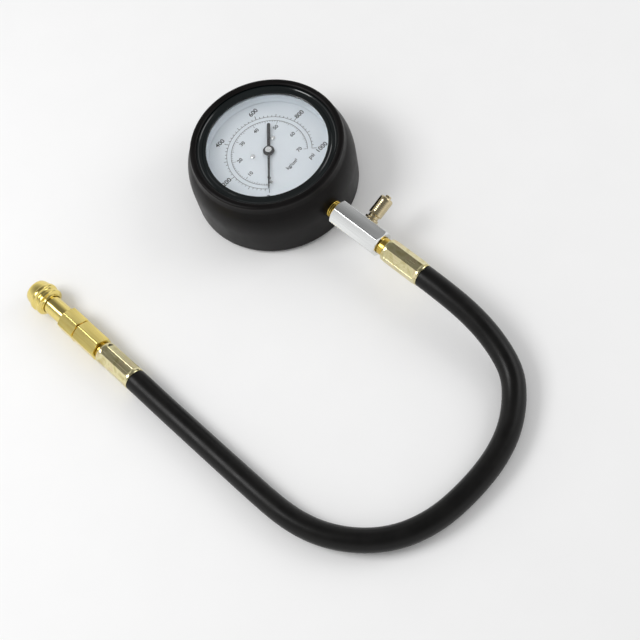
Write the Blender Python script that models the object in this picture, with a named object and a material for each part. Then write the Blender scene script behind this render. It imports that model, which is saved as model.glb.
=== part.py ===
"""Compression tester gauge: a dial gauge in a rubber boot, a hexagon block with a side relief valve,
and a hose that ends in a quick coupler. Metres, +Z up. The origin is on the gauge's axis at the boot's
flat back, the dial looks up and the stem runs toward -Y."""

import math

import bmesh
import bpy
from mathutils import Vector
from mathutils.geometry import convex_hull_2d

# Clearances
GAP = 0.0003
THREAD_RELIEF = 0.0005
THREAD_CHAMFER = 0.0006

# How far a cutter runs past what it cuts, and a joined form into its neighbour
CUTTER_REACH = 0.0030
JOIN_BITE = 0.0010

# Gauge case, window and bezel
CASE_RADIUS = 0.0400
CASE_WALL = 0.0010
CASE_DEPTH = 0.0284
CASE_BEND = 0.0015
GASKET_THICKNESS = 0.0012
LENS_THICKNESS = 0.0022
BEZEL_WALL = 0.0007
BEZEL_FRONT = 0.0012
BEZEL_SKIRT = 0.0095
DIAL_RING_WALL = 0.0050
DIAL_RING_LEAN = 0.0007
DIAL_THICKNESS = 0.0008
DIAL_DEPTH = 0.0055

# Rubber boot
BOOT_FLOOR = 0.0030
BOOT_LEDGE_RISE = 0.0013
BOOT_LEDGE_WIDTH = 0.0048
BOOT_LIP_WALL = 0.0017
BOOT_LIP_REACH = 0.0020
BOOT_LIP_RISE = 0.0012
BOOT_BULGE = 0.0045
BOOT_BACK_CORNER = 0.0032
BOOT_SHOULDER_PULL = 0.0100
BOOT_SHOULDER_OUT = 0.0007
BOOT_SHOULDER_DROP = 0.0042
BOOT_LIP_PULL = 0.0016

# Stem and the socket that carries tube and movement
STEM_HEIGHT = 0.0190
STEM_HEX = 0.0140
STEM_HEX_LENGTH = 0.0036
STEM_THREAD_RADIUS = 0.00486
STEM_THREAD_LENGTH = 0.0110
STEM_BORE = 0.0015
NECK_SHOWN = 0.0035
SOCKET_LEFT = 0.0080
SOCKET_RIGHT = 0.0140
SOCKET_FROM_CASE = 0.0040
SOCKET_LENGTH = 0.0082
SOCKET_LUG_DEPTH = 0.0018
SOCKET_LUG_WIDTH = 0.0055
SOCKET_LUG_SLOPE = 0.0010
SOCKET_TOP = 0.0030
TONGUE_HALF_WIDTH = 0.0080
TONGUE_REACH = 0.0120
TONGUE_THICKNESS = 0.0037
TONGUE_CORNER = 0.0020
TONGUE_INSET = 0.0004
CASE_SCREW_RADIUS = 0.0012
CASE_SCREW_HEAD = 0.0024
CASE_SCREW_HEAD_HEIGHT = 0.0009
CASE_SCREW_BITE = 0.0030
CASE_SCREW_PLACES = (-0.0040, 0.0070)

# Bourdon tube
TUBE_FROM_CASE = 0.0075
TUBE_WIDTH = 0.0030
TUBE_HEIGHT = 0.0110
TUBE_CENTRE_HEIGHT = 0.0155
TUBE_WALL = 0.0005
TUBE_START = math.radians(-70)
TUBE_END = math.radians(188)
TUBE_SEAT = 0.0012
TUBE_SLOT_SWEEP = 0.25
PASSAGE_BEHIND = 0.0005
TIP_WALL = 0.0006
TIP_LENGTH = 0.0022
TIP_PIN_INSET = 0.0030
TIP_LUG_RADIUS = 0.0007
TIP_LUG_ROOT = 0.0008
TIP_PIN_ANGLE = math.radians(195)

# Movement plates. Shares are of the distance between the movement's two arbors
MOVEMENT_BASE = 0.0160
PLATE_THICKNESS = 0.0010
PLATE_SPACING = 0.0070
PLATE_MARGIN = 0.0024
PILLAR_RADIUS = 0.0016
PILLAR_TENON = 0.0008
PILLAR_SHARES = ((0.578, -0.578), (-0.578, -0.778), (0.0, 0.4))
DIAL_POST_RADIUS = 0.0016
DIAL_POST_SHARES = ((-0.356, 0.222), (0.356, 0.222))
DIAL_SCREW_RADIUS = 0.0006
DIAL_SCREW_HEAD = 0.0013
DIAL_SCREW_HEAD_HEIGHT = 0.0006
MOVEMENT_SCREW_RADIUS = 0.0009
MOVEMENT_SCREW_HEAD = 0.0019
MOVEMENT_SCREW_HEAD_HEIGHT = 0.0010
MOVEMENT_SCREW_BITE = 0.0026
MOVEMENT_SCREW_SHARES = ((0.289, -0.889), (-0.311, -0.867))

# Sector, pinion and link
SECTOR_FROM_SOCKET = 0.0043
PRESSURE_ANGLE = math.radians(20)
PINION_TEETH = 10
SECTOR_TEETH = 80
SECTOR_TEETH_CUT = 11
TOOTH_PLAY = 0.00005
SECTOR_DIRECTION = math.radians(264.9)
SECTOR_THICKNESS = 0.0014
SECTOR_LIFT = 0.0004
SECTOR_HUB = 0.0032
SECTOR_HUB_OPENING = 1.35
SECTOR_RIM = 0.0028
SECTOR_WEB = 0.0030
SECTOR_SPOKE = math.radians(6)
PINION_LENGTH = 0.0030
ARBOR_RADIUS = 0.0006
ARBOR_SHOULDER = 0.0012
SECTOR_ARBOR_RADIUS = 0.0007
SECTOR_ARBOR_SHOULDER = 0.0016
LINK_THICKNESS = 0.0008
LINK_DROP = 0.0002
LINK_HALF_WIDTH = 0.0011
LINK_PAD_WALL = 0.0008
LINK_PIN_RADIUS = 0.0006
LINK_PIN_REACH = 0.0065
LINK_PIN_ANGLE = math.radians(55.2)
LINK_PLAY = 0.00055
HAIRSPRING_TURNS = 4.0
HAIRSPRING_LIFT = 0.0006
HAIRSPRING_STRIP = 0.0002
HAIRSPRING_HEIGHT = 0.0008
HAIRSPRING_RADIUS = 0.0046
STUD_RADIUS = 0.0006

# Pointer
POINTER_LENGTH = 0.0245
POINTER_TAIL = 0.0185
POINTER_HUB = 0.0032
POINTER_TIP_WIDTH = 0.0007
POINTER_ROOT_WIDTH = 0.0014
POINTER_TAIL_WIDTH = 0.0018
POINTER_THICKNESS = 0.0005
POINTER_REST = math.radians(225)
BUSH_RADIUS = 0.0012
BUSH_HEAD = 0.0019
BUSH_LIFT = 0.0009
BUSH_HEAD_HEIGHT = 0.0009
STOP_PIN_RADIUS = 0.0004
STOP_PIN_REACH = 0.0200

# Valve block
BLOCK_HEX = 0.0140
BLOCK_LENGTH = 0.0325
BLOCK_CHAMFER = 0.0010
BLOCK_PASSAGE = 0.0020

# Relief valve on the side of the block
RELIEF_FROM_BLOCK_END = 0.0185
RELIEF_TILT = math.radians(72)
RELIEF_THREAD_RADIUS = 0.0029
RELIEF_THREAD_LENGTH = 0.0044
RELIEF_RING_RADIUS = 0.0040
RELIEF_RING_WIDTH = 0.0012
RELIEF_NECK_RADIUS = 0.0031
RELIEF_NECK_LENGTH = 0.0020
RELIEF_BODY_LENGTH = 0.0115
RELIEF_ROUND = 0.0016
RELIEF_SEAT_BORE = 0.0012
RELIEF_SEAT_THICKNESS = 0.0012
RELIEF_SEAT_DEPTH = 0.0020
RELIEF_CHAMBER = 0.0025
RELIEF_MOUTH = 0.0020
RELIEF_MOUTH_LENGTH = 0.0017
BUTTON_RADIUS = 0.0017
BUTTON_SHOULDER = 0.0022
BUTTON_SHOULDER_LENGTH = 0.0024
BUTTON_SHOWN = 0.0014
BUTTON_STEM = 0.0006
BUTTON_ROUND = 0.0006
BUTTON_TOP = 0.0009
BUTTON_FOOT_INSET = 0.0006
BUTTON_FOOT_THICKNESS = 0.0005
RELIEF_SEAL_RADIUS = 0.0020
RELIEF_SEAL_THICKNESS = 0.0013
RELIEF_SPRING_WIRE = 0.0005
RELIEF_SPRING_PLAY = 0.0005
RELIEF_SPRING_TURNS = 4

# Hose tails and crimped ferrules
TAIL_THREAD_LENGTH = 0.0095
TAIL_COLLAR_RADIUS = 0.0050
TAIL_COLLAR_AT_BLOCK = 0.0035
TAIL_COLLAR_AT_COUPLER = 0.0014
TAIL_RADIUS = 0.0032
TAIL_BARB = 0.0004
TAIL_BARB_PITCH = 0.0050
TAIL_BARB_START = 0.0035
TAIL_PLAIN_END = 0.0040
TAIL_CHAMFER = 0.0005
TAIL_LENGTH = 0.0225
FERRULE_RADIUS = 0.0065
FERRULE_WALL = 0.0010
FERRULE_LENGTH = 0.0252
FERRULE_CRIMP = 0.0006
FERRULE_FLATS = 8
FERRULE_END_WALL = 0.0025
FERRULE_SHOULDER = 0.0009
FERRULE_ROUND = 0.0010
FERRULE_BEAD = 0.0030
FERRULE_BEAD_END = 0.0042
FERRULE_EDGE = 0.0004

# Hose
HOSE_RADIUS = 0.00625
HOSE_STEP = 0.0200
HOSE_LEAD = 0.0040
HOSE_ROUTE = (
    (0.0, -0.1200, 0.0189),
    (0.0, -0.1280, 0.0185),
    (0.0, -0.1390, 0.0173),
    (-0.0011, -0.1544, 0.0148),
    (-0.0044, -0.1688, 0.0116),
    (-0.0096, -0.1813, 0.0090),
    (-0.0189, -0.1902, 0.0074),
    (-0.0333, -0.1993, 0.0066),
    (-0.0526, -0.2040, 0.0064),
    (-0.0710, -0.2044, 0.0064),
    (-0.0904, -0.2027, 0.0064),
    (-0.1090, -0.1955, 0.0064),
    (-0.1231, -0.1839, 0.0064),
    (-0.1345, -0.1667, 0.0064),
    (-0.1398, -0.1478, 0.0064),
    (-0.1405, -0.1283, 0.0064),
    (-0.1406, -0.1059, 0.0064),
    (-0.1406, -0.0832, 0.0064),
    (-0.1406, -0.0594, 0.0065),
    (-0.1406, -0.0450, 0.0078),
)

# Quick coupler
COUPLER_X = -0.1406
COUPLER_Z = 0.00875
COUPLER_START = -0.0326
ADAPTER_HEX = 0.0128
ADAPTER_LENGTH = 0.0170
ADAPTER_BORE = 0.0016
COUPLER_THREAD_RADIUS = 0.00486
COUPLER_THREAD_LENGTH = 0.0104
COUPLER_HEX = 0.0132
COUPLER_HEX_LENGTH = 0.0120
HEX_CHAMFER = 0.0006
BARREL_RADIUS = 0.0054
BARREL_LENGTH = 0.0153
NOSE_RADIUS = 0.0049
NOSE_LENGTH = 0.0134
NOSE_CHAMFER = 0.0004
SOCKET_BORE = 0.0033
SOCKET_DEPTH = 0.0092
SEAL_GROOVE_RADIUS = 0.0041
SEAL_SECTION = 0.0015
SEAL_BORE = 0.0030
VALVE_SEAT_RADIUS = 0.0022
VALVE_SEAT_THICKNESS = 0.0016
VALVE_CHAMBER = 0.0039
POPPET_HEAD = 0.0035
POPPET_HEAD_LENGTH = 0.0040
POPPET_CONE = 0.0014
POPPET_STEM = 0.0009
POPPET_GUIDE = 0.0018
POPPET_GUIDE_LENGTH = 0.0060
POPPET_REACH = 0.0056
POPPET_CHAMFER = 0.0004
POPPET_PLAY = 0.0002
CHECK_SPRING_RADIUS = 0.0029
CHECK_SPRING_WIRE = 0.0006
CHECK_SPRING_TURNS = 4
BALL_RADIUS = 0.0012
BALL_COUNT = 4
BALL_DEPTH = 0.0057
BALL_RING = 0.0039
SNAP_RING_WIDTH = 0.0007
SNAP_RING_DEPTH = 0.0005
SNAP_RING_RISE = 0.0008
SNAP_RING_BEHIND = 0.0030
SLEEVE_LAND = 0.0040
SLEEVE_LAND_RADIUS = 0.0052
SLEEVE_SKIRT_WALL = 0.0007
SLEEVE_RIDGE = 0.0082
SLEEVE_FRONT_RIDGE = 0.0086
SLEEVE_GROOVE = 0.0072
SLEEVE_NOSE = 0.0067
SLEEVE_PLAIN = 0.0016
SLEEVE_RIDGE_WIDTH = 0.0020
SLEEVE_GROOVE_WIDTH = 0.0022
SLEEVE_FRONT_RIDGE_WIDTH = 0.0024
SLEEVE_ROUND = 0.0005
SLEEVE_FRONT_ROUND = 0.0006
SLEEVE_STEP = 0.0004
SLEEVE_GROOVE_DIP = 0.0002
SLEEVE_DOME_PULL = 0.0012
SLEEVE_LENGTH = 0.0136
SLEEVE_PAST_LAND = 0.0026
SLEEVE_SPRING_WIRE = 0.0004
SLEEVE_SPRING_TURNS = 3

# Facets round a turned piece
SIDES_HEAD = 36
SIDES = 16
SIDES_SMALL = 10

FINISHES = {
    "black_rubber": ((0.012, 0.011, 0.010), 0.0, 0.55),
    "gloss_black": ((0.006, 0.009, 0.010), 0.0, 0.15),
    "white_dial": ((0.78, 0.80, 0.80), 0.0, 0.50),
    "black_pointer": ((0.01, 0.01, 0.01), 0.0, 0.45),
    "clear": ((0.90, 0.95, 0.95), 0.0, 0.05),
    "brass": ((0.60, 0.40, 0.11), 1.0, 0.25),
    "polished_brass": ((0.75, 0.53, 0.14), 1.0, 0.12),
    "nickel": ((0.70, 0.68, 0.62), 1.0, 0.14),
    "steel": ((0.50, 0.50, 0.50), 1.0, 0.28),
    "yellow_zinc": ((0.62, 0.50, 0.30), 1.0, 0.30),
    "bronze": ((0.42, 0.24, 0.10), 1.0, 0.30),
    "painted_case": ((0.02, 0.02, 0.02), 0.0, 0.40),
}

# Heights of the gauge head, from the back up
case_back = BOOT_FLOOR + BOOT_LEDGE_RISE + GAP
case_inside = case_back + CASE_WALL
case_rim = case_back + CASE_DEPTH
gasket_top = case_rim + GAP + GASKET_THICKNESS
lens_bottom = gasket_top + GAP
lens_top = lens_bottom + LENS_THICKNESS
bezel_under = lens_top + GAP
bezel_top = bezel_under + BEZEL_FRONT
lip_under = bezel_top + GAP
boot_top = lip_under + BOOT_LIP_RISE
dial_top = gasket_top - DIAL_DEPTH
dial_bottom = dial_top - DIAL_THICKNESS

# Radii of the gauge head, from the case out
case_inner = CASE_RADIUS - CASE_WALL
bezel_inner = CASE_RADIUS + GAP
bezel_outer = bezel_inner + BEZEL_WALL
boot_inner = bezel_outer + GAP
lip_outer = boot_inner + BOOT_LIP_WALL
boot_belly = lip_outer + BOOT_BULGE

dial_opening = case_inner - DIAL_RING_WALL
tube_radius = case_inner - TUBE_FROM_CASE

# Stations along the stem line, measured from the gauge's axis
socket_back = case_inner - SOCKET_FROM_CASE
socket_front = socket_back - SOCKET_LENGTH
gear_distance = socket_front - SECTOR_FROM_SOCKET
stem_hex_start = CASE_RADIUS + 2 * GAP
stem_hex_end = stem_hex_start + STEM_HEX_LENGTH
block_start = boot_belly + NECK_SHOWN
block_end = block_start + BLOCK_LENGTH
stem_end = block_start + STEM_THREAD_LENGTH
relief_station = block_start + RELIEF_FROM_BLOCK_END
tail_thread_end = block_end - TAIL_THREAD_LENGTH
tail_seat = block_end + GAP + TAIL_COLLAR_AT_BLOCK
ferrule_start = tail_seat + GAP
ferrule_end = ferrule_start + FERRULE_LENGTH

# Heights of the movement
back_plate_top = MOVEMENT_BASE + PLATE_THICKNESS
front_plate_bottom = back_plate_top + PLATE_SPACING
front_plate_top = front_plate_bottom + PLATE_THICKNESS
movement_middle = (back_plate_top + front_plate_bottom) / 2
sector_bottom = movement_middle - SECTOR_THICKNESS - GAP + SECTOR_LIFT
link_top = sector_bottom - GAP - LINK_DROP
link_bottom = link_top - LINK_THICKNESS
pinion_bottom = sector_bottom - (PINION_LENGTH - SECTOR_THICKNESS) / 2
pinion_top = pinion_bottom + PINION_LENGTH
hairspring_bottom = pinion_top + HAIRSPRING_LIFT

# Places of the movement's pivots, posts and screws
gear_module = 2 * gear_distance / (PINION_TEETH + SECTOR_TEETH)


def polar(radius, angle, centre=(0.0, 0.0)):
    return (centre[0] + radius * math.cos(angle), centre[1] + radius * math.sin(angle))


def places(shares):
    return [(gear_distance * x, gear_distance * y) for x, y in shares]


pillar_places = places(PILLAR_SHARES)
dial_post_places = places(DIAL_POST_SHARES)
movement_screw_places = places(MOVEMENT_SCREW_SHARES)
sector_pivot = polar(gear_distance, SECTOR_DIRECTION)
link_sector_end = polar(LINK_PIN_REACH, LINK_PIN_ANGLE, sector_pivot)
link_tip_end = polar(tube_radius - TIP_PIN_INSET, TIP_PIN_ANGLE)

# Heights of the pointer on its arbor
bush_bottom = dial_top + BUSH_LIFT
pointer_bottom = bush_bottom + GAP + GAP
pointer_top = pointer_bottom + POINTER_THICKNESS
bush_top = pointer_top + GAP + BUSH_HEAD_HEIGHT

# Stations along the coupler line, which runs toward +Y
coupler_ferrule_end = COUPLER_START + FERRULE_LENGTH
coupler_tail_seat = coupler_ferrule_end + GAP
adapter_start = coupler_tail_seat + TAIL_COLLAR_AT_COUPLER + GAP
adapter_end = adapter_start + ADAPTER_LENGTH
coupler_hex_start = adapter_end + GAP
coupler_hex_end = coupler_hex_start + COUPLER_HEX_LENGTH
adapter_thread_end = adapter_end + COUPLER_THREAD_LENGTH
valve_chamber_start = adapter_thread_end + GAP
barrel_end = coupler_hex_end + BARREL_LENGTH
nose_end = barrel_end + NOSE_LENGTH
socket_bottom = nose_end - SOCKET_DEPTH
seal_groove_end = socket_bottom
seal_groove_start = seal_groove_end - SEAL_SECTION - 2 * GAP
valve_seat_start = seal_groove_start - VALVE_SEAT_THICKNESS
ball_station = nose_end - BALL_DEPTH
snap_ring_front = nose_end - SNAP_RING_BEHIND
snap_ring_back = snap_ring_front - SNAP_RING_WIDTH
land_front = snap_ring_back - GAP
land_back = land_front - SLEEVE_LAND
sleeve_front = land_front + SLEEVE_PAST_LAND
sleeve_back = sleeve_front - SLEEVE_LENGTH


def finish_material(name, finish):
    """A material of its own for a piece, in one of the finishes above."""
    colour, metallic, roughness = FINISHES[finish]
    material = bpy.data.materials.new(f"{name}_{finish}")
    material.use_nodes = True
    shader = material.node_tree.nodes["Principled BSDF"]
    shader.inputs["Base Color"].default_value = (*colour, 1.0)
    shader.inputs["Metallic"].default_value = metallic
    shader.inputs["Roughness"].default_value = roughness
    if finish == "clear":
        shader.inputs["Transmission Weight"].default_value = 1.0
    return material


def add_object(name, data, finish=None, parent=None):
    """An object in the scene. Without a finish it is a cutter or another helper, kept out of renders."""
    obj = bpy.data.objects.new(name, data)
    bpy.context.scene.collection.objects.link(obj)
    obj.parent = parent
    if finish:
        data.materials.append(finish_material(name, finish))
    else:
        obj.hide_render = True
        obj.display_type = "WIRE"
    return obj


def add_line(name, place, turn=(0.0, 0.0, 0.0)):
    """An empty that marks an axis: pieces on it are placed along its own Z."""
    line = bpy.data.objects.new(name, None)
    bpy.context.scene.collection.objects.link(line)
    line.location = place
    line.rotation_euler = turn
    bpy.context.view_layer.update()
    return line


def mesh_of(name, bm):
    """A smooth-shaded mesh with sharp edges kept, from a closed bmesh."""
    bmesh.ops.recalc_face_normals(bm, faces=bm.faces)
    mesh = bpy.data.meshes.new(name)
    bm.to_mesh(mesh)
    bm.free()
    mesh.shade_smooth()
    mesh.set_sharp_from_angle(angle=math.radians(35))
    return mesh


def turned(name, profile, finish=None, parent=None, sides=SIDES, centre=(0.0, 0.0)):
    """A piece turned about Z. The profile's (radius, height) points go round a ring's section, or start
    and end on the axis."""
    bm = bmesh.new()
    points = [bm.verts.new((radius, 0.0, height)) for radius, height in profile]
    edges = [bm.edges.new(pair) for pair in zip(points, points[1:])]
    if profile[0][0] > 0 or profile[-1][0] > 0:
        edges.append(bm.edges.new((points[-1], points[0])))
    bmesh.ops.spin(
        bm,
        geom=points + edges,
        cent=(0, 0, 0),
        axis=(0, 0, 1),
        angle=2 * math.pi,
        steps=sides,
        use_merge=True,
    )
    bmesh.ops.remove_doubles(bm, verts=bm.verts, dist=1e-7)
    bmesh.ops.translate(bm, verts=bm.verts, vec=(*centre, 0.0))
    return add_object(name, mesh_of(name, bm), finish, parent)


def plate(name, outline, bottom, top, finish=None, parent=None, holes=()):
    """A flat piece: an outline in XY with holes, filled and extruded from one height to another."""
    bm = bmesh.new()
    edges = []
    for loop in (outline, *holes):
        points = [bm.verts.new((x, y, bottom)) for x, y in loop]
        edges += [bm.edges.new(pair) for pair in zip(points, points[1:] + points[:1])]
    filled = bmesh.ops.triangle_fill(bm, use_beauty=True, edges=edges)
    faces = [item for item in filled["geom"] if isinstance(item, bmesh.types.BMFace)]
    raised = bmesh.ops.extrude_face_region(bm, geom=faces)
    moved = [item for item in raised["geom"] if isinstance(item, bmesh.types.BMVert)]
    bmesh.ops.translate(bm, verts=moved, vec=(0.0, 0.0, top - bottom))
    return add_object(name, mesh_of(name, bm), finish, parent)


def lofted(name, rings, finish=None, parent=None):
    """A ring-shaped body through cross-sections in order, the last one joined to the first."""
    bm = bmesh.new()
    loops = [[bm.verts.new(point) for point in ring] for ring in rings]
    for near, far in zip(loops, loops[1:] + loops[:1]):
        for i in range(len(near)):
            bm.faces.new((near[i - 1], near[i], far[i], far[i - 1]))
    return add_object(name, mesh_of(name, bm), finish, parent)


def wire(name, points, thickness, finish, parent=None, sides_quarter=0):
    """A round wire or hose along points, with filled ends."""
    curve = bpy.data.curves.new(name, "CURVE")
    curve.dimensions = "3D"
    curve.bevel_depth = thickness / 2
    curve.bevel_resolution = sides_quarter
    curve.use_fill_caps = True
    spline = curve.splines.new("POLY")
    spline.points.add(len(points) - 1)
    for point, place in zip(spline.points, points):
        point.co = (*place, 1.0)
    return add_object(name, curve, finish, parent)


def boolean(obj, other, operation):
    modifier = obj.modifiers.new(other.name, "BOOLEAN")
    modifier.operation = operation
    modifier.object = other
    return obj


def use_manifold_solver(obj):
    """For pieces whose long chain of cuts and joins the exact solver leaves open."""
    for modifier in obj.modifiers:
        modifier.solver = "MANIFOLD"


def cut(obj, *cutters):
    for cutter in cutters:
        boolean(obj, cutter, "DIFFERENCE")
    return obj


def join(obj, *others):
    for other in others:
        boolean(obj, other, "UNION")
    return obj


def rod(name, radius, start, end, finish=None, parent=None, sides=SIDES, centre=(0.0, 0.0)):
    """A plain cylinder along Z."""
    profile = ((0.0, start), (radius, start), (radius, end), (0.0, end))
    return turned(name, profile, finish, parent, sides, centre)


def arc(centre, radius, start, end, steps):
    """Points along an arc, both ends included."""
    return [polar(radius, start + (end - start) * i / steps, centre) for i in range(steps + 1)]


def circle(radius, centre=(0.0, 0.0), sides=SIDES_SMALL):
    return arc(centre, radius, 0.0, 2 * math.pi * (sides - 1) / sides, sides - 1)


def bow(start, pull, end, steps):
    """Points of a smooth bow from start to end, drawn toward a third point."""
    points = []
    for i in range(steps + 1):
        t = i / steps
        points.append(
            tuple((1 - t) ** 2 * a + 2 * t * (1 - t) * b + t * t * c for a, b, c in zip(start, pull, end))
        )
    return points


def hull_outline(discs):
    """The outline of a band stretched round discs, each (place, radius)."""
    points = [point for place, radius in discs for point in circle(radius, place, SIDES)]
    return [points[i] for i in convex_hull_2d(points)]


def hex_bar(name, across_flats, start, end, chamfer, turn=0.0, finish=None, parent=None):
    """A hexagon bar along Z with turned chamfers. A flat faces the direction of turn."""
    corner = across_flats / math.sqrt(3)
    face = 0.96 * across_flats / 2
    outline = arc((0.0, 0.0), corner, turn + math.pi / 6, turn + math.pi / 6 + 5 * math.pi / 3, 5)
    bar = plate(name, outline, start, end, finish, parent)
    wide = corner + GAP
    drop = (wide - face) * chamfer / (corner - face)
    profile = (
        (0.0, start - GAP),
        (face - GAP * (wide - face) / drop, start - GAP),
        (wide, start + drop),
        (wide, end - drop),
        (face - GAP * (wide - face) / drop, end + GAP),
        (0.0, end + GAP),
    )
    lathe = turned(f"{name}_chamfer", profile, parent=parent, sides=24)
    return boolean(bar, lathe, "INTERSECT")


def helix(radius, start, end, turns, wire_diameter):
    """Points of a compression spring with a closed turn at each end."""
    steps_per_turn = 12
    total = turns + 2
    height = end - start - wire_diameter
    points = []
    for i in range(total * steps_per_turn + 1):
        turn = i / steps_per_turn
        if turn < 1:
            share = 0.5 * turn * wire_diameter / height
        elif turn > total - 1:
            share = 1 - 0.5 * (total - turn) * wire_diameter / height
        else:
            share = 0.5 * wire_diameter / height
            share += (turn - 1) / turns * (1 - wire_diameter / height)
        angle = 2 * math.pi * turn
        lift = start + wire_diameter / 2 + share * height
        points.append((*polar(radius, angle), lift))
    return points


def rubber_boot():
    """A moulded boot: closed flat back, bulging side, and a lip that holds the bezel."""
    back_radius = lip_outer + BOOT_LIP_RISE
    corner_centre = (back_radius, BOOT_BACK_CORNER)
    belly_height = STEM_HEIGHT
    lip_middle = (boot_inner - BOOT_LIP_REACH + lip_outer) / 2
    profile = [(0.0, 0.0)]
    profile += arc(corner_centre, BOOT_BACK_CORNER, -math.pi / 2, -math.radians(15), 3)
    profile += bow(profile[-1], (boot_belly, belly_height * 0.55), (boot_belly, belly_height), 3)
    belly = (boot_belly, belly_height)
    shoulder = (lip_outer + BOOT_SHOULDER_OUT, lip_under - BOOT_SHOULDER_DROP)
    profile += bow(belly, (boot_belly, belly_height + BOOT_SHOULDER_PULL), shoulder, 3)[1:]
    profile += bow(shoulder, (lip_outer, lip_under - BOOT_LIP_PULL), (lip_outer, lip_under), 2)[1:]
    profile += bow((lip_outer, lip_under), (lip_outer, boot_top), (lip_middle, boot_top), 3)[1:]
    lip_inner = boot_inner - BOOT_LIP_REACH
    profile += bow((lip_middle, boot_top), (lip_inner, boot_top), (lip_inner, lip_under), 3)[1:]
    skirt_step = bezel_top - BEZEL_SKIRT - GAP
    ledge = case_back - GAP
    ledge_inner = bezel_inner - BOOT_LEDGE_WIDTH
    profile += [
        (boot_inner, lip_under),
        (boot_inner, skirt_step),
        (bezel_inner, skirt_step - GAP),
        (bezel_inner, ledge),
        (ledge_inner, ledge),
        (ledge_inner, BOOT_FLOOR),
        (0.0, BOOT_FLOOR),
    ]
    boot = turned("rubber_boot", profile, "black_rubber", sides=SIDES_HEAD)
    hexagon = STEM_HEX / math.sqrt(3) + GAP
    thread = STEM_THREAD_RADIUS + GAP
    profile = (
        (0.0, CASE_RADIUS - CUTTER_REACH),
        (hexagon, CASE_RADIUS - CUTTER_REACH),
        (hexagon, stem_hex_end + GAP),
        (thread, stem_hex_end + GAP),
        (thread, boot_belly + CUTTER_REACH),
        (0.0, boot_belly + CUTTER_REACH),
    )
    return cut(boot, turned("boot_stem_hole", profile, parent=stem_line))


def gauge_case():
    """A drawn steel cup with a side hole for the stem and two holes in its back."""
    bend_centre = (CASE_RADIUS - CASE_BEND, case_back + CASE_BEND)
    profile = [(0.0, case_back)]
    profile += arc(bend_centre, CASE_BEND, -math.pi / 2, 0.0, 3)
    profile += [(CASE_RADIUS, case_rim), (case_inner, case_rim)]
    profile += [(case_inner, case_inside), (0.0, case_inside)]
    case = turned("gauge_case", profile, "painted_case", sides=SIDES_HEAD)
    shank = STEM_HEX / math.sqrt(3) + GAP
    stem_hole = rod(
        "case_stem_hole",
        shank,
        case_inner - CUTTER_REACH,
        CASE_RADIUS + CUTTER_REACH,
        parent=stem_line,
    )
    cut(case, stem_hole)
    for i, x in enumerate(CASE_SCREW_PLACES):
        hole = rod(
            f"case_back_hole_{i + 1}",
            CASE_SCREW_RADIUS + GAP,
            case_back - CUTTER_REACH,
            case_inside + CUTTER_REACH,
            sides=SIDES_SMALL,
            centre=(x, case_screw_line()),
        )
        cut(case, hole)
    return case


def case_screw_line():
    """The Y of the screws that hold the socket to the case's back."""
    return -(socket_back + socket_front) / 2


def window():
    """Bezel, lens, gasket and the white ring that spaces the lens from the dial."""
    edge = BEZEL_FRONT / 2
    corner = (bezel_outer - edge, bezel_top - edge)
    skirt_end = bezel_top - BEZEL_SKIRT
    profile = [(bezel_inner, skirt_end), (bezel_outer, skirt_end)]
    profile += arc(corner, edge, 0.0, math.pi / 2, 2)
    profile += arc((dial_opening + edge, bezel_under + edge), edge, math.pi / 2, math.pi * 1.5, 4)
    profile += [(bezel_inner, bezel_under)]
    turned("bezel_ring", profile, "gloss_black", sides=SIDES_HEAD)
    lens_radius = CASE_RADIUS - GAP / 3
    rod("lens", lens_radius, lens_bottom, lens_top, "clear", sides=SIDES_HEAD)
    gasket_bottom = case_rim + GAP
    profile = (
        (case_inner, gasket_bottom),
        (CASE_RADIUS, gasket_bottom),
        (CASE_RADIUS, gasket_top),
        (case_inner, gasket_top),
    )
    turned("lens_gasket", profile, "black_rubber", sides=SIDES_HEAD)
    ring_outer = case_inner - GAP
    ring_bottom = dial_top + GAP
    profile = (
        (dial_opening + GAP, ring_bottom),
        (ring_outer, ring_bottom),
        (ring_outer, gasket_top),
        (dial_opening + GAP + DIAL_RING_LEAN, gasket_top),
    )
    turned("dial_ring", profile, "white_dial", sides=SIDES_HEAD)


def dial_plate():
    holes = [circle(BUSH_RADIUS + GAP)]
    holes += [circle(DIAL_SCREW_RADIUS + GAP, place) for place in dial_post_places]
    holes.append(circle(STOP_PIN_RADIUS + GAP, stop_pin_place()))
    outline = circle(case_inner - 2 * GAP, sides=SIDES_HEAD)
    plate("dial_plate", outline, dial_bottom, dial_top, "white_dial", holes=holes)
    for i, place in enumerate(dial_post_places):
        head_bottom = dial_top + GAP
        profile = (
            (0.0, front_plate_top + 2 * GAP),
            (DIAL_SCREW_RADIUS, front_plate_top + 2 * GAP),
            (DIAL_SCREW_RADIUS, head_bottom),
            (DIAL_SCREW_HEAD, head_bottom),
            (DIAL_SCREW_HEAD, head_bottom + 0.7 * DIAL_SCREW_HEAD_HEIGHT),
            (0.7 * DIAL_SCREW_HEAD, head_bottom + DIAL_SCREW_HEAD_HEIGHT),
            (0.0, head_bottom + DIAL_SCREW_HEAD_HEIGHT),
        )
        name = f"dial_screw_{i + 1}"
        turned(name, profile, "steel", sides=SIDES_SMALL, centre=place)


def pointer_half_width(radius):
    """Half of the pointer blade's width at a distance from the axis."""
    share = radius / POINTER_LENGTH
    return (POINTER_ROOT_WIDTH + (POINTER_TIP_WIDTH - POINTER_ROOT_WIDTH) * share) / 2


def stop_pin_place():
    """Beside the pointer's blade at zero, on the side away from its travel."""
    aside = pointer_half_width(STOP_PIN_REACH) + GAP + STOP_PIN_RADIUS
    radius = math.hypot(STOP_PIN_REACH, aside)
    return polar(radius, POINTER_REST + math.atan2(aside, STOP_PIN_REACH))


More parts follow.
